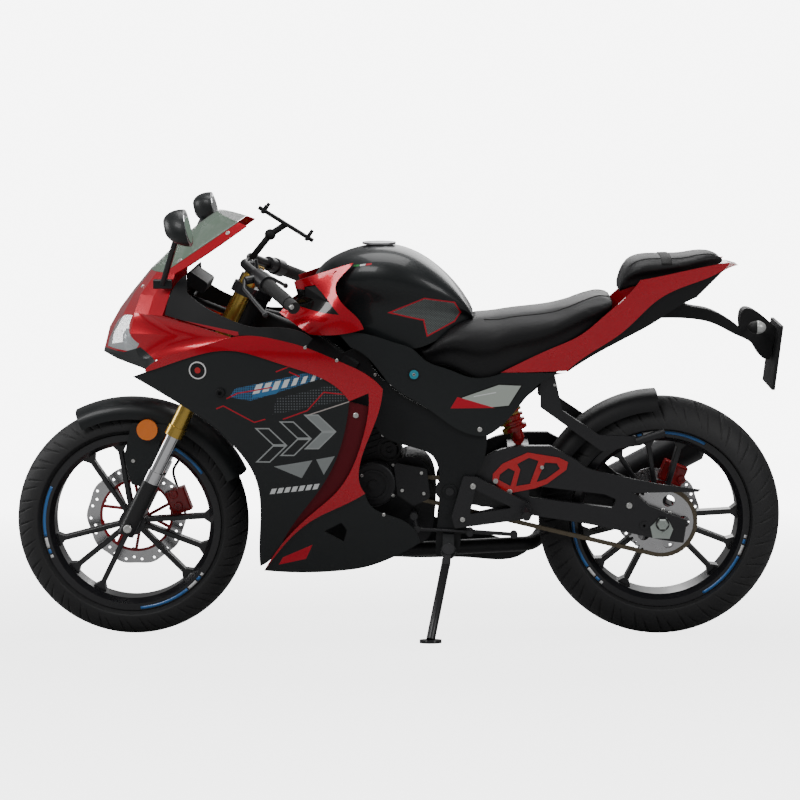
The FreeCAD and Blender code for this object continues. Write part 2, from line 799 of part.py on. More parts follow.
def side_panel():
    """Large dark side panel under the band."""
    runs = [band_low_shares, black_right_shares, black_front_shares[::-1],
            [black_front_shares[0], band_low_shares[0]]]
    return pair(flank(runs, band_step))


def side_recess():
    """Sunken panel between the dark side panel and the ribbon, left side."""
    runs = [[(0.415, 0.632), (0.398, 0.530), (0.384, 0.477), (0.358, 0.413), (0.324, 0.352),
             (0.288, 0.280)],
            [(0.288, 0.280), (0.300, 0.265)],
            [(0.300, 0.265), (0.330, 0.318), (0.370, 0.362), (0.402, 0.398), (0.432, 0.461), (0.453, 0.545),
             (0.462, 0.613)],
            [(0.462, 0.613), (0.415, 0.632)]]
    return flank(runs, recess_step)


lower_top_shares = [(0.447, 0.397), (0.468, 0.351), (0.516, 0.324), (0.536, 0.301), (0.547, 0.265)]
lower_foot_shares = [
    (0.547, 0.265), (0.487, 0.221), (0.436, 0.198), (0.405, 0.192), (0.308, 0.187), (0.256, 0.192)]
lower_hole_shares = [(0.370, 0.298), (0.402, 0.320), (0.412, 0.300), (0.406, 0.270)]
right_top_shares = [(0.447, 0.397), (0.480, 0.340), (0.540, 0.290), (0.660, 0.235), (0.757, 0.190)]
right_foot_shares = [
    (0.757, 0.190), (0.740, 0.174), (0.640, 0.168), (0.545, 0.168), (0.470, 0.174), (0.405, 0.184),
    (0.308, 0.187),
    (0.256, 0.192)]


def lower_fairing():
    """Lower fairing: short on the left to clear the stand, longer on the right."""
    left_runs = [ribbon_low_shares[::-1], lower_top_shares, lower_foot_shares]
    right_runs = [ribbon_low_shares[::-1], right_top_shares, right_foot_shares]
    hole = slab(polygon(lower_hole_shares), -2 * body_half_width, 0)
    left = flank(left_runs, band_step).cut(hole)
    right = mirrored(flank(right_runs, band_step).cut(hole))
    return Part.makeCompound([left, right])


inner_top_shares = [
    (0.0835, 0.8385), (0.091, 0.881), (0.102, 0.910), (0.122, 0.936)]
inner_rear_shares = [(0.122, 0.936), (0.124, 0.892), (0.167, 0.852), (0.202, 0.831), (0.242, 0.814),
                     (0.292, 0.812),
                     (0.354, 0.785)]
inner_low_shares = [(0.354, 0.785), (0.342, 0.765), (0.290, 0.784), (0.247, 0.793), (0.213, 0.7925)]


def inner_panels():
    """Dark panels beside the cockpit, above the band, and the sunken panels behind the ribbon."""
    low = inner_low_shares
    runs = [inner_top_shares, [inner_rear_shares[0], inner_rear_shares[1]], inner_rear_shares[1:],
            [low[0], low[1]], low[1:], [low[-1], inner_top_shares[0]]]
    upper, lower = flank(runs, band_step), side_recess()
    return Part.makeCompound([upper, lower, mirrored(upper), mirrored(lower)])


# Nose, headlamps, screen, instruments and mirrors
nose_rows_shares = (
    (0.690, ((-0.048, 0.0), (-0.018, 0.30), (0.036, 0.58), (0.044, 0.67), (0.052, 0.765))),
    (0.7285, ((-0.050, 0.0), (-0.018, 0.32), (0.030, 0.62), (0.050, 0.73), (0.066, 0.828))),
    (0.789, ((-0.038, 0.0), (-0.015, 0.34), (0.016, 0.64), (0.110, 0.82), (0.205, 0.945))),
    (0.837, ((-0.017, 0.0), (-0.001, 0.32), (0.022, 0.54), (0.050, 0.70), (0.079, 0.81))),
    (0.881, ((0.008, 0.0), (0.016, 0.26), (0.032, 0.46), (0.060, 0.62), (0.090, 0.74))),
    (0.936, ((0.042, 0.0), (0.048, 0.24), (0.062, 0.42), (0.080, 0.55), (0.100, 0.65))),
)
nose_rear_reach = 60.0
lip_runs_shares = [(-0.080, 0.7365), (-0.001, 0.7365), (0.034, 0.756), (0.064, 0.7275), (0.085, 0.690),
                   (-0.080, 0.690)]
lip_foot_shares = [(-0.060, 0.728), (0.045, 0.700), (0.062, 0.680), (-0.060, 0.680)]
headlamp_runs = [
    [(-0.060, 0.741), (-0.036, 0.764), (-0.022, 0.798), (0.018, 0.830)],
    [(0.018, 0.830), (0.012, 0.798), (0.032, 0.764)],
    [(0.032, 0.764), (0.030, 0.758), (-0.001, 0.741)],
    [(-0.001, 0.741), (-0.060, 0.741)],
]
lamp_gap_width_share = 0.08
screen_wall = 3.0


def normal_skin(grid, wall, facing=1):
    """Sheet of even thickness on a smooth surface through a grid of points. Facing picks the inner side."""
    a = smooth_face(grid)
    inner_grid = []
    for row in grid:
        inner_row = []
        for point in row:
            normal = a.Surface.normal(*a.Surface.parameter(point))
            inner_row.append(point + normal * (wall * facing))
        inner_grid.append(inner_row)
    b = smooth_face(inner_grid)
    rims = [Part.makeRuledSurface(x, y) for x, y in zip(a.Edges, b.Edges)]
    shell = Part.makeShell([a, b] + rims)
    shell.sewShape()
    solid = Part.makeSolid(shell)
    if solid.Volume < 0:
        solid.reverse()
    return solid


def nose_block(inset, reach, over):
    """Faceted block of the nose through level slices, drawn in by an inset and run on past its
    rear and ends."""
    wires = []
    last = len(nose_rows_shares) - 1
    for k, (zs, half) in enumerate(nose_rows_shares):
        z = zs * body_height + (over if k == last else -over if k == 0 else 0)
        right = [vec(spot((xs, 0)).x + inset, max(width(ws) - inset, 0), z) for xs, ws in half]
        back = right[-1] + vec(reach, 0, 0)
        if reach:
            right.append(back)
        left = [vec(p.x, -p.y, p.z) for p in right[:0:-1]]
        wires.append(Part.makePolygon(right + left + right[:1]))
    return lofted(wires, True)


def nose_shell():
    """Thin faceted shell of the whole nose, open at the rear, the top and the foot."""
    return nose_block(0, 0, 0).cut(nose_block(panel_wall, nose_rear_reach, cut_over))


def lamp_cutters():
    """Solids that cut the two lamp openings into the nose."""
    return [slab(headlamp_runs, width(low), width(high))
            for low, high in ((-1.2, -lamp_gap_width_share), (lamp_gap_width_share, 1.2))]


def lip_cutter():
    """Solid in the shape of the lip under the lamps, across the whole nose."""
    return slab(polygon(lip_runs_shares), -2 * body_half_width, 2 * body_half_width)


def nose_cowl():
    """Faceted front cowl with two lamp openings and the strips that the screen is bolted to."""
    shell = nose_shell().cut(lip_cutter())
    for cutter in lamp_cutters():
        shell = shell.cut(cutter)
    return Part.makeCompound([shell] + [screen_skin().common(cutter) for cutter in strip_cutters()])


def nose_lip():
    """Dark lower lip under the lamps."""
    foot = slab(polygon(lip_foot_shares), -2 * body_half_width, 2 * body_half_width)
    lip = nose_shell().common(lip_cutter()).cut(foot)
    return lip


def headlamps():
    """Lamp glass, flush with the cowl and seated in its openings."""
    shell = nose_shell().cut(lip_cutter())
    return Part.makeCompound([shell.common(cutter) for cutter in lamp_cutters()])


screen_rows_shares = (
    ((0.0425, 0.9365, 0.0), (0.0485, 0.9365, 0.24), (0.0625, 0.9365, 0.42), (0.0805, 0.9365, 0.55),
    (0.1005, 0.9365, 0.65)),
    ((0.0780, 0.9820, 0.0), (0.0830, 0.9800, 0.23), (0.0980, 0.9760, 0.41), (0.1210, 0.9720, 0.54),
    (0.1410, 0.9690, 0.62)),
    ((0.1140, 1.0270, 0.0), (0.1200, 1.0245, 0.22), (0.1370, 1.0190, 0.39), (0.1630, 1.0130, 0.50),
    (0.1850, 1.0080, 0.57)),
    ((0.1690, 1.0810, 0.0), (0.1740, 1.0785, 0.20), (0.1890, 1.0710, 0.36), (0.2100, 1.0610, 0.45),
    (0.2300, 1.0500, 0.52)),
)
strip_shares = [(0.078, 0.936), (0.236, 1.077), (0.270, 1.030), (0.120, 0.900)]
strip_seam_share = 0.0008


def screen_skin():
    """Clear screen with its coloured side strips, curved both ways."""
    grid = []
    for row in screen_rows_shares:
        left = [spot((xs, zs), -width(ws)) for xs, zs, ws in row[:0:-1]]
        right = [spot((xs, zs), width(ws)) for xs, zs, ws in row]
        grid.append(left + right)
    return normal_skin(grid, screen_wall)


def strip_cutters(grow=0.0):
    """Prisms over the side margins of the screen, left and right."""
    shares = [(xs, zs + grow) for xs, zs in strip_shares[:2]] + strip_shares[2:]
    return [slab(polygon(shares), width(low), width(high)) for low, high in ((-1.2, -0.1), (0.1, 1.2))]


def windshield():
    """Clear middle of the screen between its side strips, standing clear of the nose."""
    screen = screen_skin()
    for cutter in strip_cutters(strip_seam_share):
        screen = screen.cut(cutter)
    room = nose_block(-joint_gap, 0, 0).cut(nose_block(panel_wall + joint_gap, nose_rear_reach, cut_over))
    return largest(screen.cut(room))


dash_shares = [(0.115, 0.941), (0.155, 0.905), (0.146, 0.877), (0.116, 0.901)]
dash_half_width_share = 0.36
dash_round = 8.0
cockpit_bar_shares = (0.112, 0.862)
cockpit_bar_radius = 8.0
cockpit_stay_at = 590.0


def instrument_panel():
    """Instrument box with a post down to the cockpit bar."""
    half = width(dash_half_width_share)
    box = plate(dash_shares, dash_round, -half, half)
    bar = spot(cockpit_bar_shares)
    high = (spot(dash_shares[0]) + spot(dash_shares[2])) / 2
    post = rod(bar, high, cockpit_bar_radius)
    stay = rod(fork_point(cockpit_stay_at, 0, fork_offset), bar, cockpit_bar_radius + joint_gap)
    return fused([box, post]).cut(across(bar.x, bar.z, -half, half,
                                         cockpit_bar_radius + joint_gap)).cut(stay)


mirror_sections_shares = ((0.099, 0.42), (0.108, 0.74), (0.122, 0.94), (0.139, 1.0))
mirror_ring_shares = ((-1.0, -0.35), (-0.86, 0.35), (-0.40, 0.92), (0.30, 1.0), (0.88, 0.70), (1.0, 0.05),
                      (0.80, -0.75),
                      (0.10, -1.0), (-0.70, -0.90))
mirror_half_wide = 62.0
mirror_half_tall = 42.0
mirror_centre_shares = (1.062, 1.36)
mirror_tip_back_share = 0.22
mirror_foot_shares = (0.0785, 0.912)
mirror_foot_width_share = 0.70
mirror_neck_shares = (0.119, 1.046)
mirror_neck_width_share = 1.26
mirror_stalk_wide = 24.0
mirror_stalk_tall = 13.0
mirror_round = 4.0
mirror_foot_long = 44.0
mirror_foot_thick = 26.0
mirror_foot_tall = 22.0


def mirror_head():
    """Left mirror housing: rounded outlines that grow from its nose to the flat glass side at the rear."""
    height_share, width_share = mirror_centre_shares
    centre_y, centre_z = -width(width_share), height_share * body_height
    wires = []
    for along, grow in mirror_sections_shares:
        ring = []
        for side, up in mirror_ring_shares:
            x = spot((along, 0)).x + up * grow * mirror_half_tall * -mirror_tip_back_share
            ring.append(vec(x, centre_y + side * grow * mirror_half_wide,
                            centre_z + up * grow * mirror_half_tall))
        spline = Part.BSplineCurve()
        spline.interpolate(ring, True)
        wires.append(Part.Wire(spline.toShape()))
    return lofted(wires)


def mirrors():
    """Mirror heads on stalks, each with a foot on the nose."""
    foot = spot(mirror_foot_shares, -width(mirror_foot_width_share))
    neck = spot(mirror_neck_shares, -width(mirror_neck_width_share))
    stalk = beam(foot, neck, mirror_stalk_wide, mirror_stalk_tall, mirror_round)
    pad = beam(foot - X_AXIS * (mirror_foot_long / 2), foot + X_AXIS * (mirror_foot_long / 2),
               mirror_foot_thick,
               mirror_foot_tall, mirror_round)
    nose = nose_block(0, nose_rear_reach, 0)
    return pair(seated(fused([mirror_head(), stalk, pad]), nose, -Y_AXIS))


# Tank and seats
tank_half_shares = ((0.0, 1.0), (0.42, 0.985), (0.74, 0.93), (0.97, 0.78), (0.99, 0.62), (0.86, 0.42),
                    (0.82, 0.22),
                    (0.80, 0.0))
tank_sections = (
    (0.352, 0.925, 0.800, 0.30), (0.385, 0.965, 0.785, 0.40), (0.430, 0.988, 0.770, 0.52),
    (0.490, 0.995, 0.752, 0.60),
    (0.545, 0.972, 0.748, 0.58), (0.595, 0.922, 0.779, 0.50), (0.632, 0.862, 0.803, 0.40),
    (0.646, 0.824, 0.811, 0.34))


def sections_loft(sections, half_shares):
    """Solid through cross sections: each is a place along, a top, a foot and a half width, all as
    shares."""
    wires = []
    for xs, top, foot, wide in sections:
        x = spot((xs, 0)).x
        half = [(width(wide) * a, body_height * (foot + (top - foot) * b)) for a, b in half_shares]
        wires.append(section(x, half))
    return lofted(wires)


def fuel_tank():
    """Fuel tank, skinned through its cross-sections."""
    return sections_loft(tank_sections, tank_half_shares)


filler_shares = (0.470, 0.996)
filler_radius = 42.0
filler_tall = 5.0


def fuel_cap():
    """Round filler cap that stands just clear of the tank."""
    foot = spot(filler_shares)
    return rod(foot + vec(0, 0, joint_gap), foot + vec(0, 0, filler_tall), filler_radius)


seat_half_shares = ((0.0, 1.0), (0.45, 0.985), (0.80, 0.90), (0.99, 0.66), (0.97, 0.50), (0.89, 0.40),
                    (0.86, 0.18),
                    (0.84, 0.0))
seat_sections = (
    (0.545, 0.7465, 0.736, 0.44), (0.590, 0.790, 0.702, 0.50), (0.632, 0.816, 0.680, 0.54),
    (0.668, 0.821, 0.666, 0.555),
    (0.705, 0.827, 0.686, 0.565), (0.750, 0.834, 0.706, 0.565), (0.810, 0.846, 0.746, 0.565),
    (0.860, 0.866, 0.786, 0.545), (0.905, 0.874, 0.832, 0.50))
pillion_sections = (
    (0.918, 0.900, 0.880, 0.34), (0.940, 0.954, 0.895, 0.42), (1.000, 0.966, 0.915, 0.44),
    (1.060, 0.973, 0.935, 0.40), (1.112, 0.966, 0.952, 0.28))


def seat_rider():
    """Rider's seat, whose front runs under the rear of the tank."""
    seat = sections_loft(seat_sections, seat_half_shares)
    tank = fuel_tank()
    for step in (-Z_AXIS, X_AXIS):
        seat = seat.cut(tank.copy().translate(step * joint_gap))
    return largest(seat)


def seat_pillion():
    """Passenger's seat, skinned through its cross-sections."""
    return sections_loft(pillion_sections, seat_half_shares)


shroud_x_shares = (0.27, 0.33, 0.37, 0.41, 0.48, 0.56)
shroud_z_shares = (0.70, 0.78, 0.835, 0.862, 0.90, 0.97)
shroud_width_shares = (
    (0.62, 0.60, 0.50, 0.41, 0.38, 0.32),
    (0.66, 0.64, 0.53, 0.42, 0.40, 0.33),
    (0.67, 0.66, 0.63, 0.58, 0.51, 0.40),
    (0.67, 0.67, 0.65, 0.63, 0.59, 0.46),
    (0.66, 0.67, 0.66, 0.65, 0.62, 0.50),
    (0.64, 0.65, 0.64, 0.63, 0.60, 0.48),
)
shroud_runs = [
    [(0.314, 0.910), (0.378, 0.939), (0.426, 0.960)],
    [(0.426, 0.960), (0.402, 0.925), (0.393, 0.905), (0.402, 0.868), (0.425, 0.838), (0.445, 0.800)],
    [(0.445, 0.800), (0.400, 0.7866), (0.345, 0.787)],
    [(0.345, 0.787), (0.288, 0.835)],
    [(0.288, 0.835), (0.300, 0.850), (0.322, 0.868)],
    [(0.322, 0.868), (0.314, 0.910)],
]
shroud_window_shares = [(0.334, 0.898), (0.354, 0.904), (0.383, 0.864), (0.334, 0.874)]
shroud_post_shares = ((0.398, 0.850), (0.394, 0.933))
shroud_post_radius = 7.0


def tank_shrouds():
    """Red shrouds at the front of the tank, each with a window and two posts to the tank."""
    sheet = skin_sheet(shroud_x_shares, shroud_z_shares, shroud_width_shares, 0.0, panel_wall)
    left = sheet.common(slab(shroud_runs, -2 * body_half_width, 0))
    left = left.cut(slab(polygon(shroud_window_shares), -2 * body_half_width, 0))
    tank = fuel_tank()
    posts = []
    for share in shroud_post_shares:
        inside = spot(share)
        line = Part.makeLine(inside, inside - Y_AXIS * (2 * body_half_width))
        face_y = max(v.Y for v in line.common(left).Vertexes)
        posts.append(seated(across(inside.x, inside.z, face_y - panel_wall / 2, 0, shroud_post_radius),
                            tank, -Y_AXIS))
    return pair(fused([left] + posts))


mid_top_shares = [(0.400, 0.786), (0.448, 0.787), (0.504, 0.764), (0.537, 0.746), (0.556, 0.722),
                  (0.601, 0.697),
                  (0.638, 0.678), (0.667, 0.676), (0.700, 0.688)]
mid_low_shares = [(0.420, 0.755), (0.455, 0.725), (0.493, 0.663), (0.564, 0.599), (0.614, 0.551),
                  (0.669, 0.531)]
mid_rear_shares = [(0.669, 0.531), (0.716, 0.581), (0.772, 0.664), (0.819, 0.687)]
mid_x_shares = (0.36, 0.44, 0.52, 0.60, 0.68, 0.76, 0.84)
mid_z_shares = (0.50, 0.58, 0.66, 0.74, 0.82)
mid_width_shares = (
    (0.66, 0.67, 0.68, 0.67, 0.64),
    (0.64, 0.65, 0.66, 0.65, 0.62),
    (0.61, 0.62, 0.62, 0.61, 0.58),
    (0.59, 0.59, 0.58, 0.55, 0.52),
    (0.58, 0.58, 0.56, 0.53, 0.50),
    (0.57, 0.56, 0.54, 0.52, 0.50),
    (0.50, 0.50, 0.50, 0.50, 0.48),
)


def mid_panels():
    """Panels between tank, seat and frame, with a bright insert."""
    sheet = skin_sheet(mid_x_shares, mid_z_shares, mid_width_shares, 0.0, panel_wall)
    runs = [mid_top_shares, [mid_top_shares[-1], mid_rear_shares[-1]], mid_rear_shares[::-1],
            mid_low_shares[::-1],
            [mid_low_shares[0], mid_top_shares[0]]]
    return pair(sheet.common(slab(runs, -2 * body_half_width, 0)))


# Tail
tail_x_shares = (0.66, 0.74, 0.82, 0.90, 0.98, 1.06, 1.16)
tail_z_shares = (0.66, 0.74, 0.82, 0.90, 0.98)
tail_width_shares = (
    (0.50, 0.52, 0.52, 0.50, 0.46),
    (0.52, 0.55, 0.56, 0.54, 0.50),
    (0.48, 0.53, 0.56, 0.55, 0.52),
    (0.42, 0.48, 0.53, 0.54, 0.52),
    (0.36, 0.41, 0.46, 0.50, 0.50),
    (0.28, 0.32, 0.37, 0.42, 0.44),
    (0.18, 0.21, 0.25, 0.29, 0.31),
)
tail_top_front_shares = [
    (0.697, 0.688), (0.719, 0.703), (0.790, 0.748), (0.846, 0.783), (0.891, 0.833), (0.921, 0.867),
    (0.954, 0.917)]
tail_top_rear_shares = [(0.954, 0.917), (0.988, 0.925), (1.033, 0.937), (1.122, 0.957)]
tail_low_shares = [
    (1.116, 0.945), (1.071, 0.915), (1.018, 0.890), (0.985, 0.865), (0.951, 0.823), (0.918, 0.783),
    (0.884, 0.753),
    (0.820, 0.691)]
tray_low_shares = [(1.060, 0.871), (1.030, 0.852), (0.985, 0.813), (0.937, 0.778), (0.821, 0.688)]


def tail_sheet(step):
    """Curved sheet in which both tail panels lie. Step moves it inwards."""
    return skin_sheet(tail_x_shares, tail_z_shares, tail_width_shares, step, panel_wall)


def tail_panels():
    """Red side panels of the tail."""
    runs = [tail_top_front_shares, tail_top_rear_shares, [tail_top_rear_shares[-1], tail_low_shares[0]],
            tail_low_shares, [tail_low_shares[-1], tail_top_front_shares[0]]]
    return pair(tail_sheet(0.0).common(slab(runs, -2 * body_half_width, 0)))


tray_wall = 4.0


def tail_tray():
    """Dark lower tail: side strips under the red panels and a floor between them."""
    runs = [tail_low_shares, [tail_low_shares[-1], tray_low_shares[-1]], tray_low_shares[::-1],
            [tray_low_shares[0], tail_low_shares[0]]]
    strip = tail_sheet(band_step).common(slab(runs, -2 * body_half_width, 0))
    rise = tray_wall / body_height
    top = [(xs, zs + rise) for xs, zs in tray_low_shares]
    floor = slab([tray_low_shares, [tray_low_shares[-1], top[-1]], top[::-1], [top[0], tray_low_shares[0]]],
                 -body_half_width, body_half_width)
    inside = skin_sheet(tail_x_shares, tail_z_shares, tail_width_shares, band_step + panel_wall / 2,
                        2 * body_half_width)
    left_floor = floor.common(inside)
    floor = left_floor.common(mirrored(inside))
    return fused([strip, mirrored(strip), floor])


lamp_runs = [
    [(1.141, 0.946), (1.113, 0.931), (1.075, 0.890), (1.062, 0.876)],
    [(1.062, 0.876), (1.058, 0.900), (1.122, 0.953)],
    [(1.122, 0.953), (1.141, 0.946)],
]
lamp_half_width_share = 0.16


def tail_lamp():
    """Lens of the tail lamp, cut square at its sides."""
    half = width(lamp_half_width_share)
    return slab(lamp_runs, -half, half)


hanger_runs = [
    [(1.033, 0.8565), (1.044, 0.846), (1.080, 0.836), (1.121, 0.812), (1.148, 0.786)],
    [(1.148, 0.786), (1.150, 0.829), (1.216, 0.786)],
    [(1.216, 0.786), (1.204, 0.709)],
    [(1.204, 0.709), (1.190, 0.712), (1.172, 0.745), (1.140, 0.770), (1.098, 0.798), (1.040, 0.812),
    (0.990, 0.812)],
    [(0.990, 0.812), (0.990, 0.8195)],
    [(0.990, 0.8195), (1.033, 0.8565)],
]
hanger_half_width_share = 0.12
indicator_shares = (1.172, 0.797)
indicator_width_share = 0.40
indicator_stalk_radius = 6.0
indicator_radius = 16.0
indicator_long = 46.0
plate_rest_shares = [(1.216, 0.800), (1.222, 0.800), (1.208, 0.640), (1.202, 0.640)]
plate_rest_half_width_share = 0.40


def plate_hanger():
    """Number plate carrier under the tail, with a blank plate rest and two indicators."""
    half = width(hanger_half_width_share)
    body = slab(hanger_runs, -half, half)
    rest_half = width(plate_rest_half_width_share)
    rest = slab(polygon(plate_rest_shares), -rest_half, rest_half)
    at = spot(indicator_shares, 0)
    reach = width(indicator_width_share)
    bar = across(at.x, at.z, -reach, reach, indicator_stalk_radius)
    solid = [body, rest, bar]
    for side in (-1, 1):
        head = Part.makeSphere(indicator_radius)
        stretch = FreeCAD.Matrix()
        stretch.scale(indicator_long / 2 / indicator_radius, 1, 1)
        head = head.transformGeometry(stretch)
        head.translate(vec(at.x, side * reach, at.z))
        solid.append(head)
    return seated(fused(solid), tail_tray(), -Z_AXIS)


# Frame, subframe and engine
frame_inner_y = 123.0
frame_wall = 15.0
frame_runs = [
    [(0.443, 0.757), (0.486, 0.662), (0.572, 0.592), (0.658, 0.531)],
    [(0.658, 0.531), (0.672, 0.529)],
    [(0.672, 0.529), (0.668, 0.480), (0.653, 0.438), (0.632, 0.415), (0.622, 0.368), (0.613, 0.229)],
    [(0.613, 0.229), (0.578, 0.227)],
    [(0.578, 0.227), (0.578, 0.292), (0.584, 0.354), (0.584, 0.430), (0.572, 0.478), (0.529, 0.504),
    (0.463, 0.564)],
    [(0.463, 0.564), (0.400, 0.640), (0.400, 0.735)],
    [(0.400, 0.735), (0.443, 0.757)],
]
pivot_shares = (0.6025, 0.392)
pivot_radius = 10.0
pivot_boss_radius = 18.0
spar_wide = 30.0
spar_tall = 60.0
spar_round = 8.0
spar_points_shares = ((0.240, 0.805, 0.04), (0.340, 0.765, 0.44), (0.425, 0.690, 0.515))
cross_tube_radius = 14.0
frame_cross_shares = ((0.600, 0.250), (0.657, 0.500), (0.425, 0.690))


tank_post_radius = 9.0
tank_post_half_spacing = 55.0
mid_post_shares = (0.498, 0.672)
mid_post_radius = 9.0
mid_lug_radius = 21.0
nose_stay_width_share = 0.42
nose_stay_radius = 7.0


def cockpit_stays():
    """Stay ahead of the steering head: a bar between the inner panels and two arms to the nose."""
    bar = spot(cockpit_bar_shares)
    stay = rod(fork_point(cockpit_stay_at, 0, fork_offset), bar, cockpit_bar_radius)
    panels = inner_panels()
    reach = reach_to(bar, Y_AXIS * (-2 * body_half_width), panels) - joint_gap
    cross = across(bar.x, bar.z, -reach, reach, cockpit_bar_radius)
    for side in (-1, 1):
        cross = cross.cut(panels.copy().translate(Y_AXIS * (-side * joint_gap)))
    cross = largest(cross)
    room = nose_block(panel_wall + joint_gap, nose_rear_reach, cut_over)
    start = bar - Y_AXIS * width(nose_stay_width_share)
    arm = rod(start + X_AXIS * cockpit_bar_radius, vec(front_axle_x, start.y, start.z), nose_stay_radius)
    arm = largest(arm.common(room))
    return [stay, cross, arm, mirrored(arm)]


def body_posts():
    """Posts to the tank from the cross tube, and lugs on the side plates for the mid panels."""
    tank, panels = fuel_tank(), mid_panels()
    tube = spot(frame_cross_shares[2])
    lug = spot(mid_post_shares)
    posts = []
    for side in (-1, 1):
        foot = tube + Y_AXIS * (side * tank_post_half_spacing)
        posts.append(seated(rod(foot, foot + Z_AXIS * (2 * tank_post_half_spacing), tank_post_radius), tank,
                            -Z_AXIS))
    lugs = across(lug.x, lug.z, -frame_inner_y - frame_wall, -frame_inner_y, mid_lug_radius)
    start = vec(lug.x, -frame_inner_y, lug.z)
    post = prop(start, Y_AXIS * -body_half_width, panels, mid_post_radius)
    return posts + [lugs, mirrored(lugs), post, mirrored(post)]


def frame_main():
    """Steering head, two spars, side plates with the swing arm pivot, and cross tubes."""
    low = fork_point(lower_yoke_at + yoke_tall / 2 + joint_gap, 0, fork_offset)
    high = fork_point(upper_yoke_at - yoke_tall / 2 - joint_gap, 0, fork_offset)
    side_plate = slab(frame_runs, -frame_inner_y - frame_wall, -frame_inner_y)
    points = [spot((xs, zs), -width(ws)) for xs, zs, ws in spar_points_shares]
    spar = [beam(a, b, spar_wide, spar_tall, spar_round) for a, b in zip(points, points[1:])]
    knee = points[1]
    spar.append(across(knee.x, knee.z, knee.y - spar_wide / 2, knee.y + spar_wide / 2,
                       spar_tall / 2 - spar_round))
    end = points[-1]
    outer = across(end.x, end.z, -frame_inner_y - frame_wall / 2, end.y + spar_wide / 2,
                   spar_tall / 2 - spar_round)
    pivot = spot(pivot_shares)
    boss = across(pivot.x, pivot.z, -frame_inner_y - frame_wall - flange_thick, -frame_inner_y,
                  pivot_boss_radius)
    left = fused([side_plate, outer, boss] + spar)
    tubes = []
    for share in frame_cross_shares:
        at = spot(share)
        tubes.append(across(at.x, at.z, -frame_inner_y - frame_wall / 2, frame_inner_y + frame_wall / 2,
                            cross_tube_radius))
    frame = fused([left, mirrored(left), rod(low, high,
                                             head_tube_radius)] + tubes + cockpit_stays() + body_posts())
    frame = frame.cut(across(pivot.x, pivot.z, -body_half_width, body_half_width, pivot_radius + bore_gap))
    frame = frame.cut(rod(low - fork_dir * cut_over, high + fork_dir * cut_over, stem_radius + bore_gap))
    return Part.makeCompound([frame, stand_bracket()])


rail_radius = 11.0
bar_radius = 9.0
seat_post_radius = 7.0
seat_post_half_spacing = 45.0
seat_post_reach = 75.0
rail_shares = ((0.610, 0.556, 0.44), (0.700, 0.650, 0.42), (0.900, 0.785, 0.36), (1.050, 0.895, 0.22))
stay_shares = ((0.650, 0.534, 0.44), (0.890, 0.795, 0.36))


def subframe():
    """Rear rails and stays that carry the seats and tail."""
    rail = [spot((xs, zs), -width(ws)) for xs, zs, ws in rail_shares]
    stay = [spot((xs, zs), -width(ws)) for xs, zs, ws in stay_shares]
    left = [rod(a, b, rail_radius) for a, b in zip(rail, rail[1:])]
    left += [Part.makeSphere(rail_radius, p) for p in rail[1:-1]]
    left.append(rod(stay[0], stay[1], rail_radius))
    for root in (rail[0], stay[0]):
        left.append(across(root.x, root.z, -frame_inner_y + joint_gap, root.y, rail_radius))
    left = fused(left)
    bars = [rod(p, vec(p.x, -p.y, p.z), bar_radius) for p in rail[1:]]
    return fused([left, mirrored(left)] + bars + subframe_posts(rail[1:]))


def subframe_posts(rail):
    """Posts on the cross bars: up to the two seats and down to the floor of the tail."""
    seat, pillion, tray = seat_rider(), seat_pillion(), tail_tray()
    front, middle, rear = [vec(p.x, 0, p.z) for p in rail]
    posts = []
    for side in (-1, 1):
        step = Y_AXIS * (side * seat_post_half_spacing)
        for at, body in ((front, seat), (middle, seat), (rear, pillion)):
            foot = at + step
            posts.append(prop(foot, Z_AXIS * seat_post_reach, body, seat_post_radius))
        posts.append(prop(middle + step, Z_AXIS * -seat_post_reach, tray, seat_post_radius))
    return posts


case_runs = [
    [(0.425, 0.430), (0.420, 0.330), (0.450, 0.276), (0.500, 0.256)],
    [(0.500, 0.256), (0.560, 0.260), (0.572, 0.300)],
    [(0.572, 0.300), (0.576, 0.380), (0.560, 0.450), (0.520, 0.470)],
    [(0.520, 0.470), (0.425, 0.430)],
]
case_half_width = 82.0
cylinder_foot_shares = (0.475, 0.420)
cylinder_head_shares = (0.425, 0.610)
cylinder_wide = 150.0
cylinder_tall = 128.0
cylinder_round = 14.0
head_cover_shares = (0.418, 0.640)
front_sprocket_thick = 6.0


def engine_block():
    """Crankcase, inclined cylinder and head, and the output sprocket."""
    case = slab(case_runs, -case_half_width, case_half_width)
    barrel = beam(spot(cylinder_foot_shares), spot(cylinder_head_shares), cylinder_wide, cylinder_tall,
                  cylinder_round)
    cover = beam(spot(cylinder_head_shares), spot(head_cover_shares), cylinder_wide * 0.86,
                 cylinder_tall * 0.8,
                 cylinder_round)
    out = spot(engine_sprocket_spot_shares)
    sprocket = across(out.x, out.z, chain_y - front_sprocket_thick / 2, chain_y + front_sprocket_thick / 2,
                      engine_sprocket_radius - chain_roller_radius)
    shaft = across(out.x, out.z, chain_y - chain_inside, -case_half_width + cut_over,
                   engine_sprocket_radius / 2)
    return fused([case, barrel, cover, sprocket, shaft])


stator_shares = (0.460, 0.406)
stator_radius = 57.0
stator_reach = 46.0
upper_cap_shares = (0.492, 0.484)
clutch_shares = (0.475, 0.360)
clutch_radius = 74.0
clutch_reach = 52.0
cover_shares = [(0.498, 0.462), (0.560, 0.446), (0.566, 0.372), (0.535, 0.352), (0.505, 0.380)]
cover_low_y = -118.0
cover_wall = 8.0
cover_round = 8.0


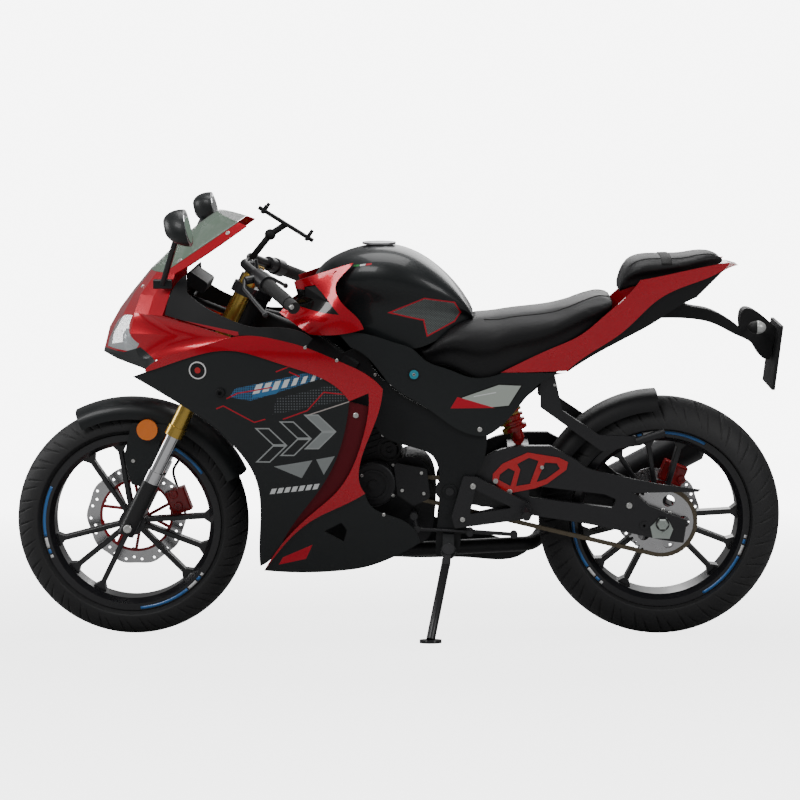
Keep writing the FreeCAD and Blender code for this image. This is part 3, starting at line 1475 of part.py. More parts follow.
def domed(x, z, radius, root_y, reach, edge):
    """Round cover with a rounded rim on the left or right side of the engine."""
    tip = root_y + reach
    drum = across(x, z, min(root_y, tip), max(root_y, tip), radius)
    face = [e for e in drum.Edges if abs(e.BoundBox.YMax - tip) < 0.01 and abs(e.BoundBox.YMin - tip) < 0.01]
    return drum.makeFillet(edge, face)


def engine_covers():
    """Generator and sprocket covers on the left, clutch cover on the right."""
    face = case_half_width + joint_gap
    stator = spot(stator_shares)
    cap = spot(upper_cap_shares)
    clutch = spot(clutch_shares)
    left = [
        domed(stator.x, stator.z, stator_radius, -face, -stator_reach, cover_round),
        domed(clutch.x, clutch.z, clutch_radius, face, clutch_reach, cover_round),
    ]
    shield = plate(cover_shares, cover_round, cover_low_y - cover_wall, cover_low_y)
    return Part.makeCompound([fused([left[0], shield]), left[1]])


radiator_low_shares = (0.300, 0.330)
radiator_high_shares = (0.268, 0.610)
radiator_wide = 300.0
radiator_thick = 34.0
radiator_round = 6.0
radiator_stay_half_spacing = 50.0
radiator_stay_radius = 7.0
radiator_stay_share = 0.85


def radiator():
    """Radiator behind the front wheel, on two stays from the cylinder head."""
    low, high = spot(radiator_low_shares), spot(radiator_high_shares)
    core = beam(low, high, radiator_wide, radiator_thick, radiator_round)
    foot, head = spot(cylinder_foot_shares), spot(cylinder_head_shares)
    up = (head - foot).normalize()
    ahead = vec(-up.z, 0, up.x)
    stays = []
    for side in (-1, 1):
        y = vec(0, side * radiator_stay_half_spacing, 0)
        end = head - up * (2 * radiator_stay_radius) + ahead * (cylinder_tall / 2 + joint_gap) + y
        start = low + (high - low) * radiator_stay_share + y
        stays.append(rod(start, start + (end - start), radiator_stay_radius))
    block = beam(foot, head, cylinder_wide, cylinder_tall + 2 * joint_gap, cylinder_round)
    return fused([core] + stays).cut(block)


exhaust_radius = 19.0
exhaust_bend = 48.0
exhaust_port_share = 0.75
exhaust_points_shares = ((0.352, 0.210, 0.16), (0.520, 0.206, 0.20), (0.765, 0.214, 0.37))
exhaust_lead = 70.0
exhaust_first = 62.0
muffler_start_shares = (0.850, 0.300, 0.75)
muffler_end_shares = (1.078, 0.462, 0.79)
muffler_radius = 50.0
muffler_tip_radius = 30.0
muffler_tip_long = 22.0


def exhaust_pipe():
    """Header from the cylinder head, down and under the engine, to the silencer on the right."""
    foot, head = spot(cylinder_foot_shares), spot(cylinder_head_shares)
    up = (head - foot).normalize()
    ahead = vec(-up.z, 0, up.x)
    port = foot + (head - foot) * exhaust_port_share + ahead * (cylinder_tall / 2 + joint_gap)
    points = [spot((xs, zs), width(ws)) for xs, zs, ws in exhaust_points_shares]
    start = spot(muffler_start_shares[:2], width(muffler_start_shares[2]))
    end = spot(muffler_end_shares[:2], width(muffler_end_shares[2]))
    lead = start - (end - start).normalize() * exhaust_lead
    return bent_tube([port, port + ahead * exhaust_first] + points + [lead, start], exhaust_radius,
                     exhaust_bend)


def exhaust():
    """Exhaust pipe and silencer."""
    return Part.makeCompound([exhaust_pipe(), muffler()])


def muffler():
    """Silencer can with cones at both ends."""
    start = spot(muffler_start_shares[:2], width(muffler_start_shares[2]))
    end = spot(muffler_end_shares[:2], width(muffler_end_shares[2]))
    on = (end - start).normalize()
    cone_long = muffler_radius
    cone_in = Part.makeCone(exhaust_radius + panel_wall, muffler_radius, cone_long, start + on * joint_gap,
                            on)
    body = rod(start + on * cone_long, end, muffler_radius)
    cone_out = Part.makeCone(muffler_radius, muffler_tip_radius, muffler_tip_long, end, on)
    bore = rod(end - on * muffler_tip_long, end + on * (muffler_tip_long + cut_over),
               muffler_tip_radius - panel_wall)
    return fused([cone_in, body, cone_out]).cut(bore)


# Swing arm, guard, shock, hugger, calipers
arm_inner_y = 104.5
arm_wall = 18.0
arm_runs = [
    [(0.590, 0.420), (0.630, 0.440), (0.672, 0.480), (0.710, 0.498), (0.752, 0.503), (0.790, 0.503)],
    [(0.790, 0.503), (0.838, 0.468)],
    [(0.838, 0.468), (0.856, 0.449)],
    [(0.856, 0.449), (0.892, 0.432)],
    [(0.892, 0.432), (0.924, 0.395)],
    [(0.924, 0.395), (0.950, 0.381)],
    [(0.950, 0.381), (0.976, 0.350)],
    [(0.976, 0.350), (1.046, 0.314)],
    [(1.046, 0.314), (1.040, 0.258)],
    [(1.040, 0.258), (0.966, 0.275), (0.931, 0.286), (0.834, 0.312), (0.757, 0.328), (0.690, 0.345),
    (0.590, 0.362)],
    [(0.590, 0.362), (0.576, 0.392), (0.590, 0.420)],
]
arm_slot_shares = [(0.752, 0.404), (0.892, 0.381), (0.914, 0.368), (0.907, 0.3465), (0.750, 0.3735)]
arm_slot_round = 6.0
blade_shares = [
    (0.870, 0.442), (0.941, 0.421), (0.993, 0.407), (1.071, 0.393), (1.066, 0.387), (0.993, 0.386),
    (0.948, 0.384),
    (0.910, 0.395)]
blade_wall = 5.0
blade_round = 1.0
arm_cross_shares = (0.666, 0.372)
arm_cross_radius = 26.0
arm_brace_shares = ((0.712, 0.470), (0.752, 0.472))
arm_brace_tall = 34.0
rear_nut_radius = 17.0
rear_nut_reach = 10.0
bobbin_shares = (0.966, 0.302)
bobbin_boss_radius = 11.0
bobbin_boss_reach = 3.0
bobbin_hole_radius = 3.4
bobbin_hole_deep = 15.0


def swing_arm():
    """Two arms with a cross tube and brace, the chain guard's blade, the pivot bolt and the rear axle."""
    arm = slab(arm_runs, -arm_inner_y - arm_wall, -arm_inner_y)
    arm = arm.cut(plate(arm_slot_shares, arm_slot_round, -arm_inner_y - arm_wall - cut_over,
                        -arm_inner_y + cut_over))
    blade = plate(blade_shares, blade_round, -arm_inner_y - arm_wall, -arm_inner_y - arm_wall + blade_wall)
    cross = spot(arm_cross_shares)
    tube = across(cross.x, cross.z, -arm_inner_y - joint_gap, arm_inner_y + joint_gap, arm_cross_radius)
    a, b = [spot(s) for s in arm_brace_shares]
    brace = beam(a, b, 2 * arm_inner_y + flange_thick, arm_brace_tall, flange_thick)
    side = arm_inner_y + arm_wall
    x, z = rear_axle_x, rear_axle_z
    axle = across(x, z, -side - rear_nut_reach, side + rear_nut_reach, rear_axle_radius)
    nuts = [across(x, z, -side - rear_nut_reach, -side + flange_thick, rear_nut_radius),
            across(x, z, side - flange_thick, side + rear_nut_reach, rear_nut_radius)]
    disc_face = rear_disc_y + disc_thick
    spacers = [
        across(x, z, -arm_inner_y - joint_gap, chain_y - sprocket_thick / 2 - joint_gap,
        rear_axle_radius * 2),
        across(x, z, disc_face + joint_gap, arm_inner_y + joint_gap, rear_axle_radius * 2),
    ]
    pivot = spot(pivot_shares)
    reach = frame_inner_y + frame_wall + flange_thick + rear_nut_reach / 2
    bolt = across(pivot.x, pivot.z, -reach, reach, pivot_radius)
    arms = fused([arm, mirrored(arm), blade, tube, brace, axle, bolt] + nuts + spacers)
    return fused([arms] + [bobbin_boss(left) for left in (True, False)]).cut(
        Part.makeCompound([bobbin_hole(left) for left in (True, False)]))


def bobbin_boss(left):
    """Round boss on the outer face of an arm, for the spool that a paddock stand lifts."""
    x, z = bobbin_shares
    face = arm_inner_y + arm_wall
    low, high = face - flange_thick, face + bobbin_boss_reach
    place = spot((x, z))
    if left:
        low, high = -high, -low
    return across(place.x, place.z, low, high, bobbin_boss_radius)


def bobbin_hole(left):
    """Blind hole for the spool's thread, from the boss's face inwards."""
    mouth = arm_inner_y + arm_wall + bobbin_boss_reach
    low, high = mouth - bobbin_hole_deep, mouth + cut_over
    place = spot(bobbin_shares)
    if left:
        low, high = -high, -low
    return across(place.x, place.z, low, high, bobbin_hole_radius)


guard_shares = [
    (0.682, 0.415), (0.683, 0.433), (0.701, 0.459), (0.748, 0.487), (0.806, 0.474), (0.823, 0.463),
    (0.820, 0.444),
    (0.784, 0.408), (0.762, 0.397), (0.721, 0.386), (0.707, 0.388)]
guard_windows_shares = (
    [(0.694, 0.418), (0.696, 0.432), (0.712, 0.448), (0.724, 0.440), (0.716, 0.402)],
    [(0.726, 0.402), (0.734, 0.444), (0.728, 0.458), (0.750, 0.474), (0.768, 0.466), (0.752, 0.408)],
    [(0.764, 0.412), (0.780, 0.462), (0.802, 0.460), (0.808, 0.446), (0.782, 0.420)],
)
guard_wall = 3.0
guard_round = 3.0


def heel_guard():
    """Red heel guard with three windows, on the left arm."""
    outer_y = -arm_inner_y - arm_wall - joint_gap
    solid = plate(guard_shares, guard_round, outer_y - guard_wall, outer_y)
    for window in guard_windows_shares:
        solid = solid.cut(plate(window, guard_round / 2, outer_y - guard_wall - cut_over,
                                outer_y + cut_over))
    return solid


shock_body_radius = 17.0
shock_eye_radius = 14.0
shock_eye_half_width = 14.0
spring_radius = 27.0
spring_wire = 5.0
spring_turns = 6


def spring_coils(length):
    """Stack of six-sided coils about the Z axis, turned as one profile."""
    root = spring_radius - spring_wire / 2
    pitch = length / spring_turns
    points = [ORIGIN, vec(root, 0, 0)]
    for k in range(spring_turns):
        middle = pitch * (k + 1 / 2)
        points += [vec(root, 0, middle - spring_wire),
                   vec(spring_radius + spring_wire, 0, middle - spring_wire / 2),
                   vec(spring_radius + spring_wire, 0, middle + spring_wire / 2),
                   vec(root, 0, middle + spring_wire)]
    points += [vec(root, 0, length), vec(0, 0, length), ORIGIN]
    return Part.Face(Part.makePolygon(points)).revolve(ORIGIN, Z_AXIS, 360)


def shock():
    """Spring and damper between frame and swing arm."""
    rail_point = spot(rail_shares[1][:2])
    high = rail_point - Z_AXIS * (bar_radius + shock_eye_radius + joint_gap)
    seat_a, seat_b = [spot(s) for s in arm_brace_shares]
    low = (seat_a + seat_b) / 2 + Z_AXIS * (arm_brace_tall / 2 + shock_eye_radius + 2 * joint_gap)
    on = (high - low).normalize()
    run = (high - low).Length
    body = rod(low, high, shock_body_radius)
    eyes = [across(p.x, p.z, -shock_eye_half_width, shock_eye_half_width, shock_eye_radius) for p in (low,
                                                                                                      high)]
    seat_low, seat_high = low + on * (run * 0.18), low + on * (run * 0.84)
    seats = [rod(seat_low, seat_low + on * spring_wire, spring_radius + spring_wire),
             rod(seat_high - on * spring_wire, seat_high, spring_radius + spring_wire)]
    length = (seat_high - seat_low).Length
    coil = spring_coils(length)
    coil.Placement = FreeCAD.Placement(seat_low, FreeCAD.Rotation(Z_AXIS, on))
    return fused([body] + eyes + seats + [coil])


hugger_gap = 12.0
hugger_wall = 3.0
hugger_half_width = 84.0
hugger_start_deg = 92.0
hugger_sweep_deg = 60.0
hugger_drop = 40.0
hugger_stay_shares = (0.8217, 0.458)
hugger_stay_radius = 9.0


def arc_guard(x, z, radius, half_width, drop, wall, start_deg, sweep_deg):
    """Mudguard of even thickness, swept part way round a wheel."""
    crown = radius + wall

    def rim(r_top, half, foot):
        return [ring_point(x, z, -half, foot), ring_point(x, z, -half * 0.86,
                                                          r_top - (r_top - foot) * 0.30),
                ring_point(x, z, 0, r_top), ring_point(x, z, half * 0.86, r_top - (r_top - foot) * 0.30),
                ring_point(x, z, half, foot)]

    foot = radius - drop
    outer, inner = rim(crown, half_width, foot), rim(radius, half_width - wall, foot)
    face = Part.Face(Part.Wire([curve(outer), Part.makeLine(outer[-1], inner[-1]), curve(inner[::-1]),
                                Part.makeLine(inner[0], outer[0])]))
    face.rotate(vec(x, 0, z), Y_AXIS, 90 - start_deg)
    return face.revolve(vec(x, 0, z), Y_AXIS, -sweep_deg)


def rear_hugger():
    """Mudguard that hugs the rear tyre, on stays from the swing arm."""
    guard = arc_guard(rear_axle_x, rear_axle_z, rear_tyre_radius + hugger_gap, hugger_half_width,
                      hugger_drop,
                      hugger_wall, hugger_start_deg, hugger_sweep_deg)
    x, z = spot(hugger_stay_shares).x, spot(hugger_stay_shares).z
    stays = [across(x, z, -arm_inner_y + joint_gap, -hugger_half_width + hugger_wall / 2,
                    hugger_stay_radius),
             across(x, z, hugger_half_width - hugger_wall / 2, arm_inner_y - joint_gap, hugger_stay_radius)]
    return fused([guard] + stays)


fender_gap = 20.0
fender_half_width = 64.0
fender_wall = 3.0
fender_drop = 46.0
fender_start_deg = 24.0
fender_sweep_deg = 92.0
fender_stay_shares = [(0.006, 0.553), (-0.009, 0.468), (0.004, 0.397), (0.034, 0.387), (0.062, 0.470),
                      (0.080, 0.548)]
fender_stay_wall = 6.0
fender_boss_shares = ((0.052, 0.440), (0.062, 0.500))
fender_boss_radius = 7.0
reflector_shares = (0.036, 0.537)
reflector_radius = 26.0
reflector_thick = 12.0


def front_fender():
    """Front mudguard with stay plates to the fork legs."""
    guard = arc_guard(front_axle_x, front_axle_z, front_tyre_radius + fender_gap, fender_half_width,
                      fender_drop,
                      fender_wall, fender_start_deg, fender_sweep_deg)
    inner = fender_half_width - fender_wall
    stay = plate(fender_stay_shares, fender_stay_wall, -fender_half_width - fender_stay_wall, -inner)
    bosses = [across(spot(s).x, spot(s).z, -fork_half_spacing, -inner, fender_boss_radius)
              for s in fender_boss_shares]
    stay = fused([stay] + bosses)
    bore = rod(fork_point(-lug_drop, -fork_half_spacing), fork_point(fork_top, -fork_half_spacing),
               lug_radius + joint_gap)
    disc_room = across(front_axle_x, front_axle_z, -front_disc_y - disc_thick - cut_over, 0,
                       front_disc_radius + cut_over)
    stay = stay.cut(bore).cut(disc_room)
    return fused([guard, stay, mirrored(stay)])


def fork_reflectors():
    """Round reflectors on the outer side of the fork legs."""
    at = spot(reflector_shares)
    y = -fender_half_width - fender_stay_wall - joint_gap
    return pair(across(at.x, at.z, y - reflector_thick, y, reflector_radius))


caliper_wide = 44.0
caliper_tall = 62.0
caliper_long = 52.0
caliper_round = 6.0
pad_gap = 1.0
front_caliper_shares = (0.082, 0.333)
rear_caliper_shares = (1.030, 0.402)


def caliper(at, centre, disc_y, disc_radius):
    """Caliper block that straddles the disc at a place near its rim."""
    out = (at - centre).normalize()
    tangent = Y_AXIS.cross(out)
    start = at - tangent * (caliper_tall / 2)
    mid_y = disc_y + disc_thick / 2
    start = vec(start.x, mid_y, start.z)
    block = beam(start, start + tangent * caliper_tall, caliper_wide, caliper_long, caliper_round)
    slot = across(centre.x, centre.z, disc_y - pad_gap, disc_y + disc_thick + pad_gap,
                  disc_radius + pad_gap)
    return block.cut(slot)


caliper_arm = 9.0


def front_caliper():
    """Front brake caliper with the arm to its fork leg."""
    centre = vec(front_axle_x, 0, front_axle_z)
    at = spot(front_caliper_shares)
    block = caliper(at, centre, front_disc_y, front_disc_radius)
    leg = fork_point(lug_top * 0.55, fork_half_spacing)
    lug = rod(vec(at.x, front_disc_y + disc_thick + pad_gap + caliper_arm, at.z), leg, caliper_arm)
    lug = lug.cut(rod(fork_point(-lug_drop, fork_half_spacing), fork_point(fork_top, fork_half_spacing),
                      lug_radius + joint_gap))
    return fused([block, lug])


def rear_caliper():
    """Rear brake caliper with its arm to the axle."""
    centre = vec(rear_axle_x, 0, rear_axle_z)
    at = spot(rear_caliper_shares)
    block = caliper(at, centre, rear_disc_y, rear_disc_radius)
    foot = vec(rear_axle_x - rear_nut_radius * 2, arm_inner_y - joint_gap - caliper_arm,
               rear_axle_z + rear_nut_radius)
    head = vec(at.x, foot.y, at.z)
    return fused([block, rod(foot, head, caliper_arm)])


# Footrests, levers and stand
rest_outer_y = 152.0
rest_plate_shares = [(0.628, 0.432), (0.652, 0.430), (0.752, 0.362), (0.756, 0.330), (0.735, 0.322),
                     (0.612, 0.300),
                     (0.606, 0.330)]
rest_plate_round = 5.0
rest_window_shares = [(0.650, 0.398), (0.720, 0.352), (0.640, 0.336)]
peg_shares = (0.744, 0.345)
peg_radius = 11.0
peg_long = 78.0


def footrests():
    """Rider's and passenger's footrests."""
    return Part.makeCompound([rider_footrests(), pillion_footrests()])


def rider_footrests():
    """Footrest brackets with a window, and pegs."""
    low_y = -frame_inner_y - frame_wall - joint_gap
    bracket = plate(rest_plate_shares, rest_plate_round, -rest_outer_y, low_y)
    bracket = bracket.cut(plate(rest_window_shares, rest_plate_round / 2, -rest_outer_y - cut_over,
                                low_y + cut_over))
    pivot = spot(pivot_shares)
    bracket = bracket.cut(across(pivot.x, pivot.z, -body_half_width, 0, pivot_boss_radius + joint_gap))
    peg = spot(peg_shares)
    bar = across(peg.x, peg.z, -rest_outer_y - peg_long, low_y - flange_thick, peg_radius)
    return pair(fused([bracket, bar]))


shift_shaft_shares = (0.536, 0.331)
shift_link_shares = (0.541, 0.298)
shift_end_shares = (0.722, 0.284)
shift_toe_shares = (0.640, 0.292)
shift_y = -146.0
shift_radius = 5.0
toe_reach = 34.0


def foot_controls():
    """Gear lever and brake pedal."""
    return Part.makeCompound([gear_lever(), brake_pedal()])


def gear_lever():
    """Gear change arm, link rod and toe lever on the left."""
    shaft, link, end, toe = [spot(s, shift_y) for s in
                             (shift_shaft_shares, shift_link_shares, shift_end_shares, shift_toe_shares)]
    shaft_root = vec(shaft.x, -case_half_width - joint_gap, shaft.z)
    parts = [rod(shaft_root, shaft - Y_AXIS * shift_radius, shift_radius * 1.4),
             rod(shaft, link, shift_radius),
             rod(link, end, shift_radius * 0.8), rod(end, toe, shift_radius),
             rod(toe, toe - Y_AXIS * toe_reach, shift_radius * 1.6)]
    parts += [across(p.x, p.z, p.y - shift_radius * 1.6, p.y + shift_radius * 1.6, shift_radius * 1.9)
              for p in (shaft, link, end, toe)]
    return fused(parts)


brake_pivot_shares = (0.722, 0.300)
brake_toe_shares = (0.600, 0.262)
master_shares = ((0.700, 0.380), (0.706, 0.450))
master_radius = 11.0


def brake_pedal():
    """Brake pedal and master cylinder on the right."""
    y = rest_outer_y + joint_gap + master_radius
    pivot, toe = spot(brake_pivot_shares, y), spot(brake_toe_shares, y)
    low, high = [spot(s, y) for s in master_shares]
    boss = shift_radius * 1.6
    return fused([rod(pivot, toe, shift_radius), across(pivot.x, pivot.z, y - boss, y + boss, boss),
                  rod(toe, toe + Y_AXIS * toe_reach, shift_radius * 1.6),
                  rod(pivot, low, shift_radius * 0.8),
                  rod(low, high, master_radius)])


pillion_y = 112.0
pillion_wall = 10.0
pillion_plate_shares = [(0.796, 0.690), (0.771, 0.674), (0.771, 0.600), (0.885, 0.490), (0.961, 0.505),
                        (0.962, 0.525), (0.880, 0.531),
                        (0.812, 0.592)]
pillion_round = 4.0
pillion_lug_share = 0.54
pillion_peg_shares = (0.950, 0.515)
pillion_peg_long = 70.0


def pillion_footrests():
    """Triangular brackets and folded pegs for the passenger."""
    bracket = plate(pillion_plate_shares, pillion_round, -pillion_y - pillion_wall, -pillion_y)
    peg = spot(pillion_peg_shares, -pillion_y - pillion_wall - peg_radius * 0.7)
    bar = rod(peg, peg + vec(pillion_peg_long, 0, pillion_peg_long / 3), peg_radius)
    low, high = [spot((xs, zs), -width(ws)) for xs, zs, ws in stay_shares]
    lug = low + (high - low) * pillion_lug_share
    boss = across(lug.x, lug.z, -pillion_y - pillion_wall / 2, lug.y, rail_radius)
    boss = boss.cut(rod(low, high, rail_radius + joint_gap))
    boss = min(boss.Solids, key=lambda solid: solid.CenterOfMass.y)
    return pair(fused([bracket, bar, boss]))


stand_pivot_shares = (0.600, 0.245)
stand_pivot_y = -164.0
stand_foot_shares = (0.568, 0.0)
stand_foot_y = -300.0
stand_fold_shares = (0.9987, 0.0, -0.05)
stand_radius = 11.0
stand_lug_radius = 19.0
stand_lug_thick = 12.0
stand_arm_share = 0.75
stand_cheek_thick = 8.0
stand_bolt_radius = 5.0
stand_bore_gap = 0.25
stand_foot_radius = 27.0
stand_foot_thick = 8.0
down = vec(0, math.sin(lean), -math.cos(lean))


def ground_at(x, y):
    """Floor under the leaning machine, in the upright frame."""
    return vec(x, y, -y * math.tan(lean))


stand_pivot = spot(stand_pivot_shares, stand_pivot_y)
stand_foot = ground_at(spot(stand_foot_shares).x, stand_foot_y)
stand_sole_top = stand_foot - down * stand_foot_thick
stand_axis = (stand_sole_top - stand_pivot).cross(vec(*stand_fold_shares)).normalize()


def stand_bracket():
    """Lug on the frame that carries the side stand."""
    pivot = stand_pivot
    lug = rod(pivot - stand_axis * (stand_lug_thick / 2), pivot + stand_axis * (stand_lug_thick / 2),
              stand_lug_radius)
    inward = X_AXIS.cross(stand_axis).normalize()
    if inward.y < 0:
        inward = inward * -1
    face_y = -frame_inner_y - frame_wall - joint_gap
    reach = (face_y - pivot.y) / inward.y + stand_lug_thick / 2
    half = stand_lug_radius * stand_arm_share
    along = inward.cross(stand_axis).normalize()
    corners = [pivot + along * (a * half) + stand_axis * (b * stand_lug_thick / 2)
               for a, b in ((-1, -1), (1, -1), (1, 1), (-1, 1))]
    arm = Part.Face(Part.makePolygon(corners + corners[:1])).extrude(inward * reach)
    room = Part.makeBox(wheelbase, body_half_width, body_height, vec(front_axle_x, face_y, 0))
    arm = arm.cut(room)
    hole = rod(pivot - stand_axis * stand_lug_radius, pivot + stand_axis * stand_lug_radius,
               stand_bolt_radius + stand_bore_gap)
    return fused([lug, arm]).cut(hole)


def side_stand():
    """Side stand leg with a forked head, bolt and sole."""
    pivot, foot, sole_top = stand_pivot, stand_foot, stand_sole_top
    on = (sole_top - pivot).normalize()
    half = stand_lug_thick / 2 + joint_gap
    cheeks = [
        rod(pivot + stand_axis * half, pivot + stand_axis * (half + stand_cheek_thick),
        stand_lug_radius * 0.8),
        rod(pivot - stand_axis * half, pivot - stand_axis * (half + stand_cheek_thick),
        stand_lug_radius * 0.8),
    ]
    bolt = rod(pivot - stand_axis * (half + stand_cheek_thick),
               pivot + stand_axis * (half + stand_cheek_thick),
               stand_bolt_radius)
    neck = pivot + on * (stand_lug_radius + joint_gap + stand_radius)
    strap_half = stand_cheek_thick * 0.35
    straps = []
    for sign in (-1, 1):
        middle = stand_axis * (sign * (half + stand_cheek_thick / 2))
        flat = stand_axis.cross(on) * stand_radius * 0.85
        thick = stand_axis * strap_half
        corners = [pivot + middle + flat * p + thick * q for p, q in ((-1, -1), (1, -1), (1, 1), (-1, 1))]
        straps.append(Part.Face(Part.makePolygon(corners + corners[:1])).extrude(neck - pivot))
    reach = half + stand_cheek_thick * 0.9
    collar = rod(neck - stand_axis * reach, neck + stand_axis * reach, stand_radius)
    leg = rod(neck, sole_top - down * joint_gap, stand_radius)
    sole = rod(foot, foot - down * stand_foot_thick, stand_foot_radius)
    return fused([bolt] + cheeks + straps + [collar, leg, sole])


# Places a finished piece as the machine stands
def stood_shift():
    """Step across that puts the middle between the leaned mirrors' outer edges on the row's centre
    plane."""
    box = mirrors().rotate(ORIGIN, X_AXIS, lean_deg).optimalBoundingBox(False)
    return -Y_AXIS * (box.YMin + box.YMax) / 2


def stood(shape, shift):
    """Leans a piece from the upright frame on to the side stand and centres it."""
    return shape.rotate(ORIGIN, X_AXIS, lean_deg).translate(shift)


def build():
    """Makes every piece upright, by name."""
    nodes = {}
    nodes["front_tyre"] = tyre(front_axle_x, front_axle_z, front_tyre_radius, front_tyre_half_width,
                               front_rim_half_width)
    nodes["rear_tyre"] = tyre(rear_axle_x, rear_axle_z, rear_tyre_radius, rear_tyre_half_width,
                              rear_rim_half_width)
    nodes["front_rim"] = cast_wheel(front_axle_x, front_axle_z, front_rim_half_width, front_hub_radius,
                                    front_hub_half_length, front_spoke_half_depth, front_fan_deg,
                                    front_axle_radius)
    nodes["rear_rim"] = cast_wheel(rear_axle_x, rear_axle_z, rear_rim_half_width, rear_hub_radius,
                                   rear_hub_half_length, rear_spoke_half_depth, rear_fan_deg,
                                   rear_axle_radius)
    nodes["front_disc"] = petal_disc(front_axle_x, front_axle_z, front_disc_y, front_disc_radius,
                                     front_hub_radius,
                                     front_hub_half_length + joint_gap, front_axle_radius)
    nodes["rear_disc"] = petal_disc(rear_axle_x, rear_axle_z, rear_disc_y, rear_disc_radius,
                                    front_hub_radius,
                                    rear_hub_half_length + joint_gap, rear_axle_radius)
    nodes["rear_sprocket"] = rear_sprocket()
    nodes["chain"] = chain()
    nodes["fork_outer_tubes"] = fork_outer_tubes()
    nodes["fork_legs"] = fork_legs()
    nodes["handlebar"] = handlebar()
    nodes["grips"] = grips()
    nodes["control_levers"] = control_levers()
    makers = (
        frame_main, subframe, engine_block, engine_covers, radiator, exhaust, fuel_tank, fuel_cap,
        tank_shrouds,
        mid_panels, seat_rider, seat_pillion, tail_panels, tail_tray, tail_lamp, plate_hanger, nose_cowl,
        nose_lip,
        headlamps, windshield, instrument_panel, mirrors, phone_holder, front_brake_hose, side_band,
        side_ribbon, side_panel, lower_fairing, inner_panels,
        swing_arm, heel_guard, shock, rear_hugger, front_fender, fork_reflectors, front_caliper,
        rear_caliper,
        footrests, foot_controls, side_stand)
    for maker in makers:
        nodes[maker.__name__] = maker()
    return nodes


def export(nodes):
    """Leans the pieces and writes one file for each."""
    os.makedirs("parts", exist_ok=True)
    shift = stood_shift()
    for name, shape in nodes.items():
        stood(shape, shift).exportStep("parts/" + name + ".step")


if __name__ == "__main__":
    export(build())
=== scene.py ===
import json
import math

import bmesh
import bpy
import numpy as np
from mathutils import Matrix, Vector

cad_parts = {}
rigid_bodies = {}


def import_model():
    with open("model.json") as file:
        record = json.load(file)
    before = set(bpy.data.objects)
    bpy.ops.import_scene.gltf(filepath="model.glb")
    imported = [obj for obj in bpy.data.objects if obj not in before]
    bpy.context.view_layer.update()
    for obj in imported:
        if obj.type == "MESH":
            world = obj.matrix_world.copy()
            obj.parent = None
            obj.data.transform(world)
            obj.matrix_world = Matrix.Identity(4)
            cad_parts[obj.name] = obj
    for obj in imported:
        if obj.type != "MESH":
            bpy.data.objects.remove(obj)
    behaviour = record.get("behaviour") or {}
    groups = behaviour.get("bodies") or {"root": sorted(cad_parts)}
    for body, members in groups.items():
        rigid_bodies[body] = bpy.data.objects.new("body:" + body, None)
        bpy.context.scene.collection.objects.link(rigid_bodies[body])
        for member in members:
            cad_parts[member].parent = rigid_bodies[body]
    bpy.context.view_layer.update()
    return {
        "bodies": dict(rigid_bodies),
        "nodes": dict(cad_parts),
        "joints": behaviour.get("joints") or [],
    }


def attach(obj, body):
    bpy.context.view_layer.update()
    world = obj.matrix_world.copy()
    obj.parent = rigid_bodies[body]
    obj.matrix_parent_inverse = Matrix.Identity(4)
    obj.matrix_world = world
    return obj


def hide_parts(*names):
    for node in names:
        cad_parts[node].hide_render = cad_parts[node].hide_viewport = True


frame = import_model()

TAU = 2 * math.pi
LEAN = math.radians(8.5)
WHEELBASE = 1.335
FRONT_X, REAR_X = -0.674, 0.661
# Tyres by radius and crown radius, rims by half width, and the paint and tread on them
FRONT_RADIUS, FRONT_CROWN, FRONT_RIM_HALF = 0.293, 0.055, 0.044
REAR_RADIUS, REAR_CROWN, REAR_RIM_HALF = 0.306, 0.075, 0.057
BEAD_RADIUS, LIP_RADIUS = 0.2262, 0.219
STRIPE_LOW, STRIPE_HIGH = 0.2165, 0.2238
TREAD_DEEP = 0.0034
CHAIN_Y, CHAIN_PITCH, SPROCKET_TEETH = -0.094, 0.0127, 42
# How far small pieces go into what they sit on, and how far a seat swells at most
SUNK = 0.001
CUSHION_LIFT = 0.004
# Relief of the grain in the materials, and size of the patches in their gloss
GRAIN_DEEP = 0.0006
PATCH_SCALE = 9.0
# Faces of a box whose points are two rings of four
BOX_FACES = [[0, 3, 2, 1], [7, 4, 5, 6], [0, 1, 5, 4], [1, 2, 6, 5], [2, 3, 7, 6], [3, 0, 4, 7]]


def wheel_height(radius, crown):
    """Height of a wheel's centre in the leaning centre plane, so that its round crown touches the floor."""
    return radius - crown + crown / math.cos(LEAN)


FRONT_Z, REAR_Z = wheel_height(FRONT_RADIUS, FRONT_CROWN), wheel_height(REAR_RADIUS, REAR_CROWN)
JOINTS = {joint["name"]: joint for joint in frame["joints"]}
STEP_Y = JOINTS["front_wheel_spin"]["pos_m"][1] + FRONT_Z * math.sin(LEAN)


def leaned(points):
    """Turns points of the upright frame about the X axis by the lean and steps them to the frame's middle."""
    p = np.asarray(points, float).copy()
    y, z = p[..., 1].copy(), p[..., 2].copy()
    p[..., 1] = y * math.cos(LEAN) - z * math.sin(LEAN) + STEP_Y
    p[..., 2] = y * math.sin(LEAN) + z * math.cos(LEAN)
    return p


# Meshes from arrays
def mesh_object(name, points, faces, smooth=True):
    """One mesh from an array of points and an array or list of faces. Each closed part faces outwards."""
    mesh = bpy.data.meshes.new(name)
    mesh.from_pydata(np.asarray(points, float).tolist(), [], [list(f) for f in faces])
    mesh.validate()
    shape = bmesh.new()
    shape.from_mesh(mesh)
    bmesh.ops.recalc_face_normals(shape, faces=shape.faces)
    shape.to_mesh(mesh)
    shape.free()
    if smooth:
        smooth_shaded(mesh)
    obj = bpy.data.objects.new(name, mesh)
    bpy.context.collection.objects.link(obj)
    return obj


